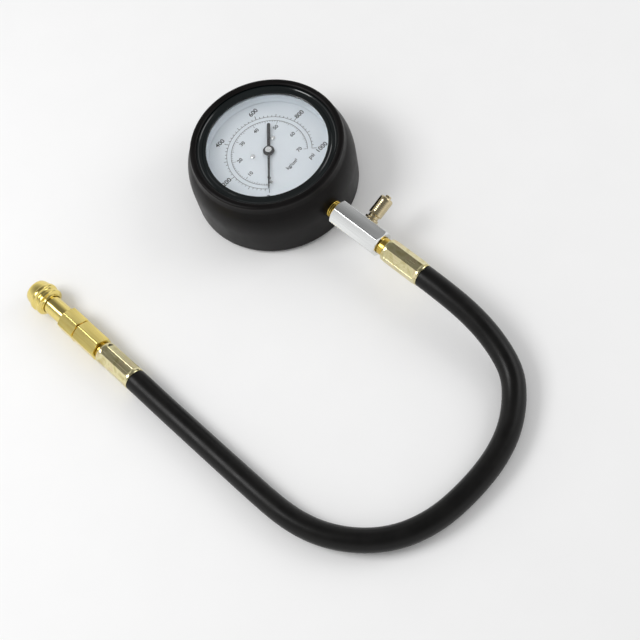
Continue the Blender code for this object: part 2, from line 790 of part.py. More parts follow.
def pointer():
    """A blade with a thin end, a thick tail and a round middle, on a bush that grips the arbor."""
    hub_edge = math.asin(POINTER_ROOT_WIDTH / 2 / POINTER_HUB)
    tail_edge = math.asin(POINTER_TAIL_WIDTH / 2 / POINTER_HUB)
    tip = POINTER_TIP_WIDTH / 2
    tail = POINTER_TAIL_WIDTH / 2
    outline = [(POINTER_LENGTH, -tip), (POINTER_LENGTH, tip)]
    outline += arc((0.0, 0.0), POINTER_HUB, hub_edge, math.pi - tail_edge, 8)
    outline += arc((-POINTER_TAIL + tail, 0.0), tail, math.pi / 2, 1.5 * math.pi, 5)
    outline += arc((0.0, 0.0), POINTER_HUB, math.pi + tail_edge, 2 * math.pi - hub_edge, 8)
    hole = circle(BUSH_RADIUS + GAP)
    blade = plate("pointer", outline, pointer_bottom, pointer_top, "black_pointer", holes=[hole])
    blade.rotation_euler = (0.0, 0.0, POINTER_REST)
    bore = ARBOR_RADIUS + GAP
    profile = (
        (0.0, bush_top - GAP),
        (bore, bush_top - GAP),
        (bore, bush_bottom),
        (BUSH_HEAD, bush_bottom),
        (BUSH_HEAD, bush_bottom + GAP),
        (BUSH_RADIUS, bush_bottom + GAP),
        (BUSH_RADIUS, pointer_top + GAP),
        (BUSH_HEAD, pointer_top + GAP),
        (BUSH_HEAD, bush_top - GAP),
        (BUSH_HEAD - GAP, bush_top),
        (0.0, bush_top),
    )
    turned("pointer_bush", profile, "steel", sides=SIDES_SMALL)
    collar = STOP_PIN_RADIUS + 2 * GAP
    profile = (
        (0.0, dial_bottom),
        (STOP_PIN_RADIUS, dial_bottom),
        (STOP_PIN_RADIUS, dial_top + GAP),
        (collar, dial_top + GAP),
        (collar, dial_top + 2 * GAP),
        (STOP_PIN_RADIUS, dial_top + 2 * GAP),
        (STOP_PIN_RADIUS, pointer_top + GAP),
        (0.0, pointer_top + GAP),
    )
    turned("stop_pin", profile, "steel", sides=10, centre=stop_pin_place())


def involute(base, radius):
    """The angle that an involute has turned through where it reaches a radius."""
    slope = math.acos(base / radius)
    return math.tan(slope) - slope


def tooth_outline(teeth, addendum, dedendum, numbers, turn):
    """Points along the numbered teeth of a gear with involute flanks. Tooth 0 points toward turn."""
    pitch = gear_module * teeth / 2
    base = pitch * math.cos(PRESSURE_ANGLE)
    root = pitch - dedendum
    flank_start = max(root, base)
    steps = 2
    radii = [flank_start + (pitch + addendum - flank_start) * i / steps for i in range(steps + 1)]
    middle = math.pi / (2 * teeth) - TOOTH_PLAY / (2 * pitch) + involute(base, pitch)
    flank = [(radius, middle - involute(base, radius)) for radius in radii]
    if root < base:
        flank.insert(0, (root, middle))
    points = []
    for number in numbers:
        angle = turn + 2 * math.pi * number / teeth
        points += [polar(radius, angle - half) for radius, half in flank]
        points += [polar(radius, angle + half) for radius, half in reversed(flank)]
    return points


def pinion_arbor():
    """The pointer's arbor, with its pinion and the collet of the hairspring."""
    addendum = 0.9 * gear_module
    gap_turn = SECTOR_DIRECTION + math.pi / PINION_TEETH
    teeth = tooth_outline(PINION_TEETH, addendum, addendum, range(PINION_TEETH), gap_turn)
    pinion = plate("pinion_arbor", teeth, pinion_bottom, pinion_top, "brass")
    collet = hairspring_bottom - GAP / 3
    profile = (
        (0.0, MOVEMENT_BASE),
        (ARBOR_RADIUS, MOVEMENT_BASE),
        (ARBOR_RADIUS, back_plate_top + GAP),
        (ARBOR_SHOULDER, back_plate_top + GAP),
        (ARBOR_SHOULDER, pinion_top + GAP),
        (ARBOR_RADIUS, pinion_top + GAP),
        (ARBOR_RADIUS, collet),
        (ARBOR_SHOULDER, collet),
        (ARBOR_SHOULDER, front_plate_bottom - GAP),
        (ARBOR_RADIUS, front_plate_bottom - GAP),
        (ARBOR_RADIUS, bush_top - 2 * GAP),
        (0.0, bush_top - 2 * GAP),
    )
    return join(pinion, turned("pinion_shaft", profile, sides=SIDES_SMALL))


def sector_gear():
    """A toothed sector with a window, carried on its arbor, and the pin that the link turns on."""
    pitch_angle = 2 * math.pi / SECTOR_TEETH
    toward_pinion = SECTOR_DIRECTION - math.pi
    first = 1 - (SECTOR_TEETH_CUT - 2)
    numbers = range(first, first + SECTOR_TEETH_CUT)
    rim = gear_module * SECTOR_TEETH / 2 - 1.2 * gear_module
    low = toward_pinion + (first - 0.5) * pitch_angle
    high = toward_pinion + (first + SECTOR_TEETH_CUT - 0.5) * pitch_angle
    teeth = tooth_outline(SECTOR_TEETH, 0.6 * gear_module, 1.2 * gear_module, numbers, toward_pinion)
    hub_ends = (high + SECTOR_HUB_OPENING, low + 2 * math.pi - SECTOR_HUB_OPENING)
    hub = arc((0.0, 0.0), SECTOR_HUB, *hub_ends, 8)
    outline = [polar(rim, low)] + teeth + [polar(rim, high)] + hub
    window_rim = rim - SECTOR_RIM
    window_hub = LINK_PIN_REACH + SECTOR_WEB
    opening = arc((0.0, 0.0), window_rim, low + SECTOR_SPOKE, high - SECTOR_SPOKE, 6)
    opening += arc((0.0, 0.0), window_hub, high - 1.6 * SECTOR_SPOKE, low + 1.6 * SECTOR_SPOKE, 4)
    bore = circle(SECTOR_ARBOR_RADIUS + GAP)
    sector_top = sector_bottom + SECTOR_THICKNESS
    gear = plate("sector_gear", outline, sector_bottom, sector_top, "brass", sector_line, [opening, bore])
    pin = rod(
        "sector_pin",
        LINK_PIN_RADIUS,
        link_bottom - GAP,
        sector_bottom + GAP,
        parent=sector_line,
        sides=SIDES_SMALL,
        centre=polar(LINK_PIN_REACH, LINK_PIN_ANGLE),
    )
    join(gear, pin)
    profile = (
        (0.0, MOVEMENT_BASE),
        (SECTOR_ARBOR_RADIUS, MOVEMENT_BASE),
        (SECTOR_ARBOR_RADIUS, back_plate_top + GAP),
        (SECTOR_ARBOR_SHOULDER, back_plate_top + GAP),
        (SECTOR_ARBOR_SHOULDER, sector_bottom - GAP),
        (SECTOR_ARBOR_RADIUS, sector_bottom - GAP),
        (SECTOR_ARBOR_RADIUS, sector_top + GAP),
        (SECTOR_ARBOR_SHOULDER, sector_top + GAP),
        (SECTOR_ARBOR_SHOULDER, sector_top + 4 * GAP),
        (SECTOR_ARBOR_RADIUS, sector_top + 4 * GAP),
        (SECTOR_ARBOR_RADIUS, front_plate_top),
        (0.0, front_plate_top),
    )
    turned("sector_arbor", profile, "steel", sector_line, SIDES_SMALL)


def link():
    """A flat link from the tube's tip to the sector, with a running hole at each end."""
    reach = Vector(link_sector_end) - Vector(link_tip_end)
    tip_hole = LINK_PIN_RADIUS + GAP
    sector_hole = LINK_PIN_RADIUS + LINK_PLAY
    tip_pad = tip_hole + LINK_PAD_WALL
    sector_pad = sector_hole + LINK_PAD_WALL
    tip_edge = math.asin(LINK_HALF_WIDTH / tip_pad)
    sector_edge = math.asin(LINK_HALF_WIDTH / sector_pad)
    far = (reach.length, 0.0)
    outline = arc((0.0, 0.0), tip_pad, tip_edge, 2 * math.pi - tip_edge, 10)
    outline += arc(far, sector_pad, math.pi + sector_edge, 3 * math.pi - sector_edge, 10)
    holes = [circle(tip_hole), circle(sector_hole, far)]
    strip = plate("link", outline, link_bottom, link_top, "steel", tip_line, holes)
    strip.rotation_euler = (0.0, 0.0, math.atan2(reach.y, reach.x))


def movement_plates():
    """Two plates that hold the arbors, three pillars between them, and the screws to the socket."""
    pillar_disc = PILLAR_RADIUS + PLATE_MARGIN
    discs = [(place, pillar_disc) for place in pillar_places]
    discs.append((sector_pivot, SECTOR_ARBOR_RADIUS + PLATE_MARGIN + GAP))
    tenon_holes = [circle(PILLAR_TENON + GAP, place) for place in pillar_places]
    arbor_holes = [
        circle(ARBOR_RADIUS + GAP),
        circle(SECTOR_ARBOR_RADIUS + GAP, sector_pivot),
    ]
    screw_discs = [(place, MOVEMENT_SCREW_RADIUS + PLATE_MARGIN) for place in movement_screw_places]
    screw_holes = [circle(MOVEMENT_SCREW_RADIUS + GAP, place) for place in movement_screw_places]
    plate(
        "movement_back_plate",
        hull_outline(discs + screw_discs),
        MOVEMENT_BASE,
        back_plate_top,
        "brass",
        holes=tenon_holes + arbor_holes + screw_holes,
    )
    post_discs = [(place, DIAL_POST_RADIUS + GAP) for place in dial_post_places]
    front = plate(
        "movement_front_plate",
        hull_outline(discs + post_discs),
        front_plate_bottom,
        front_plate_top,
        "brass",
        holes=tenon_holes + arbor_holes,
    )
    post_top = dial_bottom - GAP
    for i, place in enumerate(dial_post_places):
        profile = (
            (0.0, front_plate_bottom + GAP),
            (DIAL_POST_RADIUS, front_plate_bottom + GAP),
            (DIAL_POST_RADIUS, post_top),
            (DIAL_SCREW_RADIUS + GAP, post_top),
            (DIAL_SCREW_RADIUS + GAP, front_plate_top + GAP),
            (0.0, front_plate_top + GAP),
        )
        join(front, turned(f"dial_post_{i + 1}", profile, sides=SIDES_SMALL, centre=place))
    stud_place = (HAIRSPRING_RADIUS + HAIRSPRING_STRIP / 2 + GAP + STUD_RADIUS, 0.0)
    stud = rod(
        "hairspring_stud",
        STUD_RADIUS,
        hairspring_bottom,
        front_plate_bottom + GAP,
        sides=SIDES_SMALL,
        centre=stud_place,
    )
    join(front, stud)
    for i, place in enumerate(pillar_places):
        profile = (
            (0.0, MOVEMENT_BASE),
            (PILLAR_TENON, MOVEMENT_BASE),
            (PILLAR_TENON, back_plate_top + GAP),
            (PILLAR_RADIUS, back_plate_top + GAP),
            (PILLAR_RADIUS, front_plate_bottom - GAP),
            (PILLAR_TENON, front_plate_bottom - GAP),
            (PILLAR_TENON, front_plate_top),
            (0.0, front_plate_top),
        )
        turned(f"movement_pillar_{i + 1}", profile, "brass", sides=SIDES_SMALL, centre=place)
    for i, place in enumerate(movement_screw_places):
        head = back_plate_top + GAP
        profile = (
            (0.0, MOVEMENT_BASE - MOVEMENT_SCREW_BITE),
            (MOVEMENT_SCREW_RADIUS, MOVEMENT_BASE - MOVEMENT_SCREW_BITE),
            (MOVEMENT_SCREW_RADIUS, head),
            (MOVEMENT_SCREW_HEAD, head),
            (MOVEMENT_SCREW_HEAD, head + MOVEMENT_SCREW_HEAD_HEIGHT),
            (0.0, head + MOVEMENT_SCREW_HEAD_HEIGHT),
        )
        turned(f"movement_screw_{i + 1}", profile, "steel", sides=SIDES_SMALL, centre=place)


def hairspring():
    """A flat spiral from the arbor's collet out to its stud on the front plate."""
    inner = ARBOR_SHOULDER + GAP + HAIRSPRING_STRIP / 2
    steps = round(12 * HAIRSPRING_TURNS)
    outside = []
    inside = []
    for i in range(steps + 1):
        share = i / steps
        angle = -2 * math.pi * HAIRSPRING_TURNS * (1 - share)
        radius = inner + (HAIRSPRING_RADIUS - inner) * share
        outside.append(polar(radius + HAIRSPRING_STRIP / 2, angle))
        inside.append(polar(radius - HAIRSPRING_STRIP / 2, angle))
    top = hairspring_bottom + HAIRSPRING_HEIGHT
    plate("hairspring", outside + inside[::-1], hairspring_bottom, top, "bronze")


def tube_section(half_width, half_height):
    """A flattened oval round the tube's centreline, as (radius, height) from the gauge's axis."""
    flat = half_height - half_width
    top = arc((tube_radius, TUBE_CENTRE_HEIGHT + flat), half_width, 0.0, math.pi, 4)
    bottom = arc((tube_radius, TUBE_CENTRE_HEIGHT - flat), half_width, math.pi, 2 * math.pi, 4)
    return top + bottom


def swept_section(name, section, start, end, steps, finish=None):
    """A closed section swept about Z from one angle to another, with flat ends."""
    bm = bmesh.new()
    points = [
        bm.verts.new((radius * math.cos(start), radius * math.sin(start), height))
        for radius, height in section
    ]
    first = [bm.edges.new(pair) for pair in zip(points, points[1:] + points[:1])]
    spun = bmesh.ops.spin(
        bm,
        geom=points + first,
        cent=(0, 0, 0),
        axis=(0, 0, 1),
        angle=end - start,
        steps=steps,
    )
    last = [item for item in spun["geom_last"] if isinstance(item, bmesh.types.BMEdge)]
    bmesh.ops.edgeloop_fill(bm, edges=first + last)
    return add_object(name, mesh_of(name, bm), finish)


def bourdon_tube():
    """A flattened, C-shaped tube, open into the socket and capped by its tip."""
    steps = 24
    over = CUTTER_REACH / tube_radius
    outer = tube_section(TUBE_WIDTH / 2, TUBE_HEIGHT / 2)
    inner = tube_section(TUBE_WIDTH / 2 - TUBE_WALL, TUBE_HEIGHT / 2 - TUBE_WALL)
    tube = swept_section("bourdon_tube", outer, TUBE_START, TUBE_END, steps, "bronze")
    cut(tube, swept_section("tube_hollow", inner, TUBE_START - over, TUBE_END + over, steps))


def ring_sector(inner, outer, start, end, steps):
    """The outline of a piece of a flat ring about the gauge's axis."""
    return arc((0.0, 0.0), outer, start, end, steps) + arc((0.0, 0.0), inner, end, start, steps)


def tube_tip():
    """A cap over the tube's end, with a lug inward and the pin that pulls the link."""
    pocket = TUBE_WIDTH / 2 + GAP * 1.2
    shell = pocket + TIP_WALL
    low = TUBE_CENTRE_HEIGHT - TUBE_HEIGHT / 2 - GAP
    high = TUBE_CENTRE_HEIGHT + TUBE_HEIGHT / 2 + GAP
    start = TUBE_END - TIP_LENGTH / tube_radius
    pocket_end = TUBE_END + GAP / tube_radius
    end = pocket_end + TIP_WALL * 2 / tube_radius
    outline = ring_sector(tube_radius - shell, tube_radius + shell, start, end, 2)
    cap = plate("tube_tip", outline, low - TIP_WALL, high + TIP_WALL, "bronze")
    pocket_start = start - TIP_WALL / tube_radius
    hollow = ring_sector(tube_radius - pocket, tube_radius + pocket, pocket_start, pocket_end, 2)
    lug_root = polar(tube_radius - shell + TIP_LUG_ROOT, end - TIP_LUG_ROOT / tube_radius)
    pad = LINK_PIN_RADIUS + LINK_PAD_WALL
    lug_bottom = link_top + GAP
    lug = plate(
        "tube_tip_lug",
        hull_outline([(link_tip_end, pad), (lug_root, TIP_LUG_RADIUS)]),
        lug_bottom,
        lug_bottom + SECTOR_THICKNESS,
    )
    pin = rod(
        "tube_tip_pin",
        LINK_PIN_RADIUS,
        link_bottom - GAP,
        lug_bottom + GAP,
        sides=SIDES_SMALL,
        centre=link_tip_end,
    )
    join(cap, lug, pin)
    cut(cap, plate("tube_tip_pocket", hollow, low, high))


def stem_socket():
    """One brass piece: the socket block and its tongue inside the case, the shank through the side, the
    hexagon, and the threaded neck, with the pressure passage drilled to the tube's end."""
    bottom = case_inside + GAP
    top = STEM_HEIGHT + SOCKET_TOP
    lug = socket_front - SOCKET_LUG_DEPTH
    step = SOCKET_RIGHT - SOCKET_LUG_WIDTH
    outline = (
        (-SOCKET_LEFT, -socket_front),
        (step, -socket_front),
        (step + SOCKET_LUG_SLOPE, -lug),
        (SOCKET_RIGHT, -lug),
        (SOCKET_RIGHT, -socket_back),
        (-SOCKET_LEFT, -socket_back),
    )
    socket = plate("stem_socket", outline, bottom, top, "brass")
    tongue_top = MOVEMENT_BASE - GAP
    tongue_root = -socket_front - JOIN_BITE
    tongue_left = -TONGUE_HALF_WIDTH + TONGUE_INSET
    tongue_outline = (
        (tongue_left, tongue_root),
        (TONGUE_HALF_WIDTH, tongue_root),
        (TONGUE_HALF_WIDTH, -TONGUE_REACH - TONGUE_CORNER),
        (TONGUE_HALF_WIDTH - TONGUE_CORNER, -TONGUE_REACH),
        (-TONGUE_HALF_WIDTH + TONGUE_CORNER, -TONGUE_REACH),
        (tongue_left, -TONGUE_REACH - TONGUE_CORNER),
    )
    tongue = plate("socket_tongue", tongue_outline, tongue_top - TONGUE_THICKNESS, tongue_top)
    shank = STEM_HEX / math.sqrt(3)
    profile = (
        (0.0, socket_back - JOIN_BITE),
        (shank - GAP, socket_back - JOIN_BITE),
        (shank - GAP, stem_hex_start + JOIN_BITE),
        (STEM_THREAD_RADIUS, stem_hex_start + JOIN_BITE),
        (STEM_THREAD_RADIUS, stem_end - THREAD_CHAMFER),
        (STEM_THREAD_RADIUS - THREAD_CHAMFER, stem_end),
        (0.0, stem_end),
    )
    stem = turned("stem_shank", profile, parent=stem_line)
    hexagon = hex_bar(
        "stem_hexagon",
        STEM_HEX,
        stem_hex_start,
        stem_hex_end,
        HEX_CHAMFER,
        parent=stem_line,
    )
    join(socket, tongue, stem, hexagon)
    passage_y = tube_radius * math.sin(TUBE_START) - PASSAGE_BEHIND
    bore_end = stem_end + CUTTER_REACH
    bore = rod("stem_bore", STEM_BORE, -passage_y - STEM_BORE, bore_end, parent=stem_line)
    crossing_bore = 0.7 * STEM_BORE
    crossing = rod(
        "socket_crossing",
        crossing_bore,
        -STEM_BORE / 2,
        tube_radius * math.cos(TUBE_START) - GAP,
        parent=cross_line(passage_y),
        sides=SIDES_SMALL,
    )
    well = rod(
        "socket_well",
        crossing_bore,
        TUBE_CENTRE_HEIGHT - crossing_bore,
        STEM_HEIGHT,
        sides=SIDES_SMALL,
        centre=(0.0, passage_y),
    )
    pocket = TUBE_WIDTH / 2 + GAP
    slot_start = TUBE_START - TUBE_SEAT / tube_radius
    slot_end = TUBE_START + TUBE_SLOT_SWEEP
    slot = plate(
        "socket_tube_slot",
        ring_sector(tube_radius - pocket, tube_radius + pocket, slot_start, slot_end, 6),
        TUBE_CENTRE_HEIGHT - TUBE_HEIGHT / 2 - GAP,
        TUBE_CENTRE_HEIGHT + TUBE_HEIGHT / 2 + GAP,
    )
    cut(socket, bore, well, crossing, slot)
    for i, x in enumerate(CASE_SCREW_PLACES):
        hole = rod(
            f"socket_case_hole_{i + 1}",
            CASE_SCREW_RADIUS + GAP,
            bottom - CUTTER_REACH,
            bottom + CASE_SCREW_BITE,
            sides=SIDES_SMALL,
            centre=(x, case_screw_line()),
        )
        cut(socket, hole)
    for i, place in enumerate(movement_screw_places):
        hole = rod(
            f"socket_movement_hole_{i + 1}",
            MOVEMENT_SCREW_RADIUS + GAP,
            MOVEMENT_BASE - MOVEMENT_SCREW_BITE - GAP,
            MOVEMENT_BASE,
            sides=SIDES_SMALL,
            centre=place,
        )
        cut(socket, hole)
    use_manifold_solver(socket)


def cross_line(y):
    """A line toward +X from the stem's passage, level with the tube's middle."""
    return add_line("crossing_line", (0.0, y, TUBE_CENTRE_HEIGHT), (0.0, math.pi / 2, 0.0))


def case_screws():
    head_top = case_back - GAP
    head_bottom = head_top - CASE_SCREW_HEAD_HEIGHT
    end = case_inside + CASE_SCREW_BITE
    for i, x in enumerate(CASE_SCREW_PLACES):
        profile = (
            (0.0, head_bottom),
            (CASE_SCREW_HEAD - GAP, head_bottom),
            (CASE_SCREW_HEAD, head_bottom + GAP),
            (CASE_SCREW_HEAD, head_top),
            (CASE_SCREW_RADIUS, head_top),
            (CASE_SCREW_RADIUS, end),
            (0.0, end),
        )
        place = (x, case_screw_line())
        turned(f"case_screw_{i + 1}", profile, "steel", sides=SIDES_SMALL, centre=place)


def valve_block():
    """Hexagon bar, bored and threaded from both ends, with a side bore in one flat."""
    facing = math.pi / 2 - RELIEF_TILT
    block = hex_bar(
        "valve_block",
        BLOCK_HEX,
        block_start,
        block_end,
        BLOCK_CHAMFER,
        facing,
        "nickel",
        stem_line,
    )
    thread = STEM_THREAD_RADIUS + GAP
    profile = (
        (0.0, block_start - CUTTER_REACH),
        (thread, block_start - CUTTER_REACH),
        (thread, stem_end + THREAD_RELIEF),
        (BLOCK_PASSAGE, stem_end + THREAD_RELIEF),
        (BLOCK_PASSAGE, tail_thread_end - THREAD_RELIEF),
        (thread, tail_thread_end - THREAD_RELIEF),
        (thread, block_end + CUTTER_REACH),
        (0.0, block_end + CUTTER_REACH),
    )
    bore = turned("block_bore", profile, parent=stem_line)
    side = rod(
        "block_side_bore",
        RELIEF_THREAD_RADIUS + GAP,
        GAP,
        BLOCK_HEX / 2 + CUTTER_REACH,
        parent=relief_line,
    )
    cut(block, bore, side)


def relief_valve():
    """A press-to-release valve: sleeve with an inner seat, and a sprung button that carries a seal."""
    face = BLOCK_HEX / 2
    ring_start = face + GAP
    neck_start = ring_start + RELIEF_RING_WIDTH
    body_start = neck_start + RELIEF_NECK_LENGTH
    body_end = body_start + RELIEF_BODY_LENGTH
    thread_start = face - RELIEF_THREAD_LENGTH
    seat_start = thread_start + RELIEF_SEAT_DEPTH
    seat_end = seat_start + RELIEF_SEAT_THICKNESS
    mouth_start = body_end - RELIEF_MOUTH_LENGTH
    bottom_bore = RELIEF_SEAL_RADIUS + GAP
    slope = RELIEF_RING_RADIUS - RELIEF_NECK_RADIUS
    profile = [
        (bottom_bore, thread_start),
        (RELIEF_THREAD_RADIUS, thread_start),
        (RELIEF_THREAD_RADIUS, ring_start),
        (RELIEF_RING_RADIUS, ring_start),
        (RELIEF_RING_RADIUS, neck_start),
        (RELIEF_NECK_RADIUS, neck_start + slope / 3),
        (RELIEF_NECK_RADIUS, body_start - slope / 3),
        (RELIEF_RING_RADIUS, body_start + slope / 3),
    ]
    round_start = (RELIEF_RING_RADIUS, body_end - RELIEF_ROUND)
    rim = (RELIEF_MOUTH + GAP, body_end)
    profile += bow(round_start, (RELIEF_RING_RADIUS, body_end), rim, 3)
    profile += [
        (RELIEF_MOUTH, body_end - GAP),
        (RELIEF_MOUTH, mouth_start),
        (RELIEF_CHAMBER, mouth_start),
        (RELIEF_CHAMBER, seat_end),
        (RELIEF_SEAT_BORE, seat_end),
        (RELIEF_SEAT_BORE, seat_start),
        (bottom_bore, seat_start),
    ]
    turned("relief_sleeve", profile, "nickel", relief_line)
    seal_top = seat_start - GAP
    seal_bottom = seal_top - RELIEF_SEAL_THICKNESS
    seal_bore = BUTTON_STEM + GAP
    profile = (
        (seal_bore, seal_bottom),
        (RELIEF_SEAL_RADIUS, seal_bottom),
        (RELIEF_SEAL_RADIUS, seal_top),
        (seal_bore, seal_top),
    )
    turned("relief_seal", profile, "black_rubber", relief_line, SIDES_SMALL)
    shoulder_top = mouth_start - GAP
    shoulder_bottom = shoulder_top - BUTTON_SHOULDER_LENGTH
    foot_top = seal_bottom - GAP
    foot = RELIEF_SEAL_RADIUS - BUTTON_FOOT_INSET
    button_end = body_end + BUTTON_SHOWN
    profile = [
        (0.0, foot_top - BUTTON_FOOT_THICKNESS),
        (foot, foot_top - BUTTON_FOOT_THICKNESS),
        (foot, foot_top),
        (BUTTON_STEM, foot_top),
        (BUTTON_STEM, shoulder_bottom),
        (BUTTON_SHOULDER, shoulder_bottom),
        (BUTTON_SHOULDER, shoulder_top),
        (BUTTON_RADIUS, shoulder_top),
    ]
    round_start = (BUTTON_RADIUS, button_end - BUTTON_ROUND)
    profile += bow(round_start, (BUTTON_RADIUS, button_end), (BUTTON_TOP, button_end), 3)
    profile.append((0.0, button_end))
    turned("relief_button", profile, "nickel", relief_line, SIDES_SMALL)
    coil = RELIEF_CHAMBER - RELIEF_SPRING_PLAY - RELIEF_SPRING_WIRE / 2
    points = helix(coil, seat_end + GAP, shoulder_bottom - GAP, RELIEF_SPRING_TURNS, RELIEF_SPRING_WIRE)
    wire("relief_spring", points, RELIEF_SPRING_WIRE, "steel", relief_line)


def hose_tail(name, seat, way, collar_length, line):
    """A threaded collar with a barbed tail, bored through. seat is the collar's face at the ferrule, and
    way is 1 where the tail runs up the line from it, or -1."""
    thread_start = -(collar_length + GAP + TAIL_THREAD_LENGTH)
    barbs = []
    for i in range(int((TAIL_LENGTH - TAIL_PLAIN_END) / TAIL_BARB_PITCH)):
        at = TAIL_BARB_START + i * TAIL_BARB_PITCH
        barbs += [(TAIL_RADIUS, at), (TAIL_RADIUS + TAIL_BARB, at), (TAIL_RADIUS, at + 0.6 * TAIL_BARB_PITCH)]
    profile = [
        (STEM_BORE, thread_start),
        (STEM_THREAD_RADIUS - THREAD_CHAMFER, thread_start),
        (STEM_THREAD_RADIUS, thread_start + THREAD_CHAMFER),
        (STEM_THREAD_RADIUS, -collar_length),
        (TAIL_COLLAR_RADIUS, -collar_length),
        (TAIL_COLLAR_RADIUS, 0.0),
        (TAIL_RADIUS, 0.0),
        *barbs,
        (TAIL_RADIUS, TAIL_LENGTH - TAIL_CHAMFER),
        (TAIL_RADIUS - TAIL_CHAMFER, TAIL_LENGTH),
        (STEM_BORE, TAIL_LENGTH),
    ]
    profile = [(radius, seat + way * station) for radius, station in profile]
    turned(name, profile, "brass", line, SIDES_SMALL)


def ferrule_ring(radius, crimp, station):
    """A cross-section of a ferrule: a circle pressed toward a polygon by the crimping dies."""
    points = []
    sides = 2 * FERRULE_FLATS
    for i in range(sides):
        angle = 2 * math.pi * i / sides
        off_flat = (i % 2) * 2 * math.pi / sides
        pressed = (radius - crimp) / math.cos(off_flat)
        points.append((*polar(min(radius, pressed), angle), station))
    return points


def ferrule(name, start, way, line):
    """A crimped ferrule: an end wall round the hose tail, and a skirt pressed on the hose. start is its
    end at the collar, and way is 1 where the skirt runs up the line from it, or -1."""
    inner = FERRULE_RADIUS - FERRULE_WALL
    tail_hole = TAIL_RADIUS + GAP
    pressed = inner - FERRULE_CRIMP
    stations = (
        (tail_hole, 0.0, 0.0),
        (FERRULE_RADIUS - FERRULE_SHOULDER, 0.0, 0.0),
        (FERRULE_RADIUS, 0.0, FERRULE_ROUND),
        (FERRULE_RADIUS, 0.0, FERRULE_BEAD),
        (FERRULE_RADIUS, FERRULE_CRIMP, FERRULE_BEAD_END),
        (FERRULE_RADIUS, FERRULE_CRIMP, FERRULE_LENGTH - FERRULE_BEAD_END),
        (FERRULE_RADIUS, 0.0, FERRULE_LENGTH - FERRULE_BEAD),
        (FERRULE_RADIUS - FERRULE_EDGE, 0.0, FERRULE_LENGTH),
        (pressed + FERRULE_EDGE, 0.0, FERRULE_LENGTH),
        (pressed, 0.0, FERRULE_END_WALL),
        (tail_hole, 0.0, FERRULE_END_WALL),
    )
    rings = [ferrule_ring(radius, crimp, start + way * at) for radius, crimp, at in stations]
    return lofted(name, rings, "yellow_zinc", line)


def smooth_route(points, step):
    """Points about one step apart along a smooth curve through the given ones, ends included."""
    knots = [Vector(point) for point in points]
    knots = [2 * knots[0] - knots[1]] + knots + [2 * knots[-1] - knots[-2]]
    fine = [knots[1]]
    for before, start, end, after in zip(knots, knots[1:], knots[2:], knots[3:]):
        spans = [math.sqrt((b - a).length) for a, b in ((before, start), (start, end), (end, after))]
        leave = (start - before) / spans[0] - (end - before) / (spans[0] + spans[1])
        leave = (leave + (end - start) / spans[1]) * spans[1]
        arrive = (end - start) / spans[1] - (after - start) / (spans[1] + spans[2])
        arrive = (arrive + (after - end) / spans[2]) * spans[1]
        for i in range(1, 9):
            t = i / 8
            place = (2 * t**3 - 3 * t**2 + 1) * start + (t**3 - 2 * t**2 + t) * leave
            fine.append(place + (3 * t**2 - 2 * t**3) * end + (t**3 - t**2) * arrive)
    travelled = [0.0]
    for a, b in zip(fine, fine[1:]):
        travelled.append(travelled[-1] + (b - a).length)
    count = round(travelled[-1] / step)
    route = []
    index = 0
    for i in range(count + 1):
        target = travelled[-1] * i / count
        while index < len(fine) - 2 and travelled[index + 1] < target:
            index += 1
        share = (target - travelled[index]) / (travelled[index + 1] - travelled[index])
        route.append(fine[index].lerp(fine[index + 1], share))
    return route


def hose():
    """The rubber hose, laid in a U from the block's ferrule to the coupler's."""
    start = Vector((0.0, -(ferrule_end + GAP), STEM_HEIGHT))
    end = Vector((COUPLER_X, COUPLER_START - GAP, COUPLER_Z))
    straight = Vector((0.0, -HOSE_LEAD, 0.0))
    route = smooth_route((start + straight, *HOSE_ROUTE, end + straight), HOSE_STEP)
    wire("hose", [start, *route, end], 2 * HOSE_RADIUS, "black_rubber", sides_quarter=2)


def coupler_adapter():
    """A hexagon adapter: the hose tail screws into one end, and its own thread into the coupler."""
    adapter = hex_bar(
        "coupler_adapter",
        ADAPTER_HEX,
        adapter_start,
        adapter_end,
        HEX_CHAMFER,
        finish="polished_brass",
        parent=coupler_line,
    )
    thread = rod(
        "adapter_thread",
        COUPLER_THREAD_RADIUS,
        adapter_end - 2 * JOIN_BITE,
        adapter_thread_end,
        parent=coupler_line,
    )
    join(adapter, thread)
    tail_bore = STEM_THREAD_RADIUS + GAP
    tail_bore_end = adapter_start - GAP + TAIL_THREAD_LENGTH + THREAD_RELIEF
    profile = (
        (0.0, adapter_start - CUTTER_REACH),
        (tail_bore, adapter_start - CUTTER_REACH),
        (tail_bore, tail_bore_end),
        (ADAPTER_BORE, tail_bore_end),
        (ADAPTER_BORE, adapter_thread_end + CUTTER_REACH),
        (0.0, adapter_thread_end + CUTTER_REACH),
    )
    cut(adapter, turned("adapter_bore", profile, parent=coupler_line))


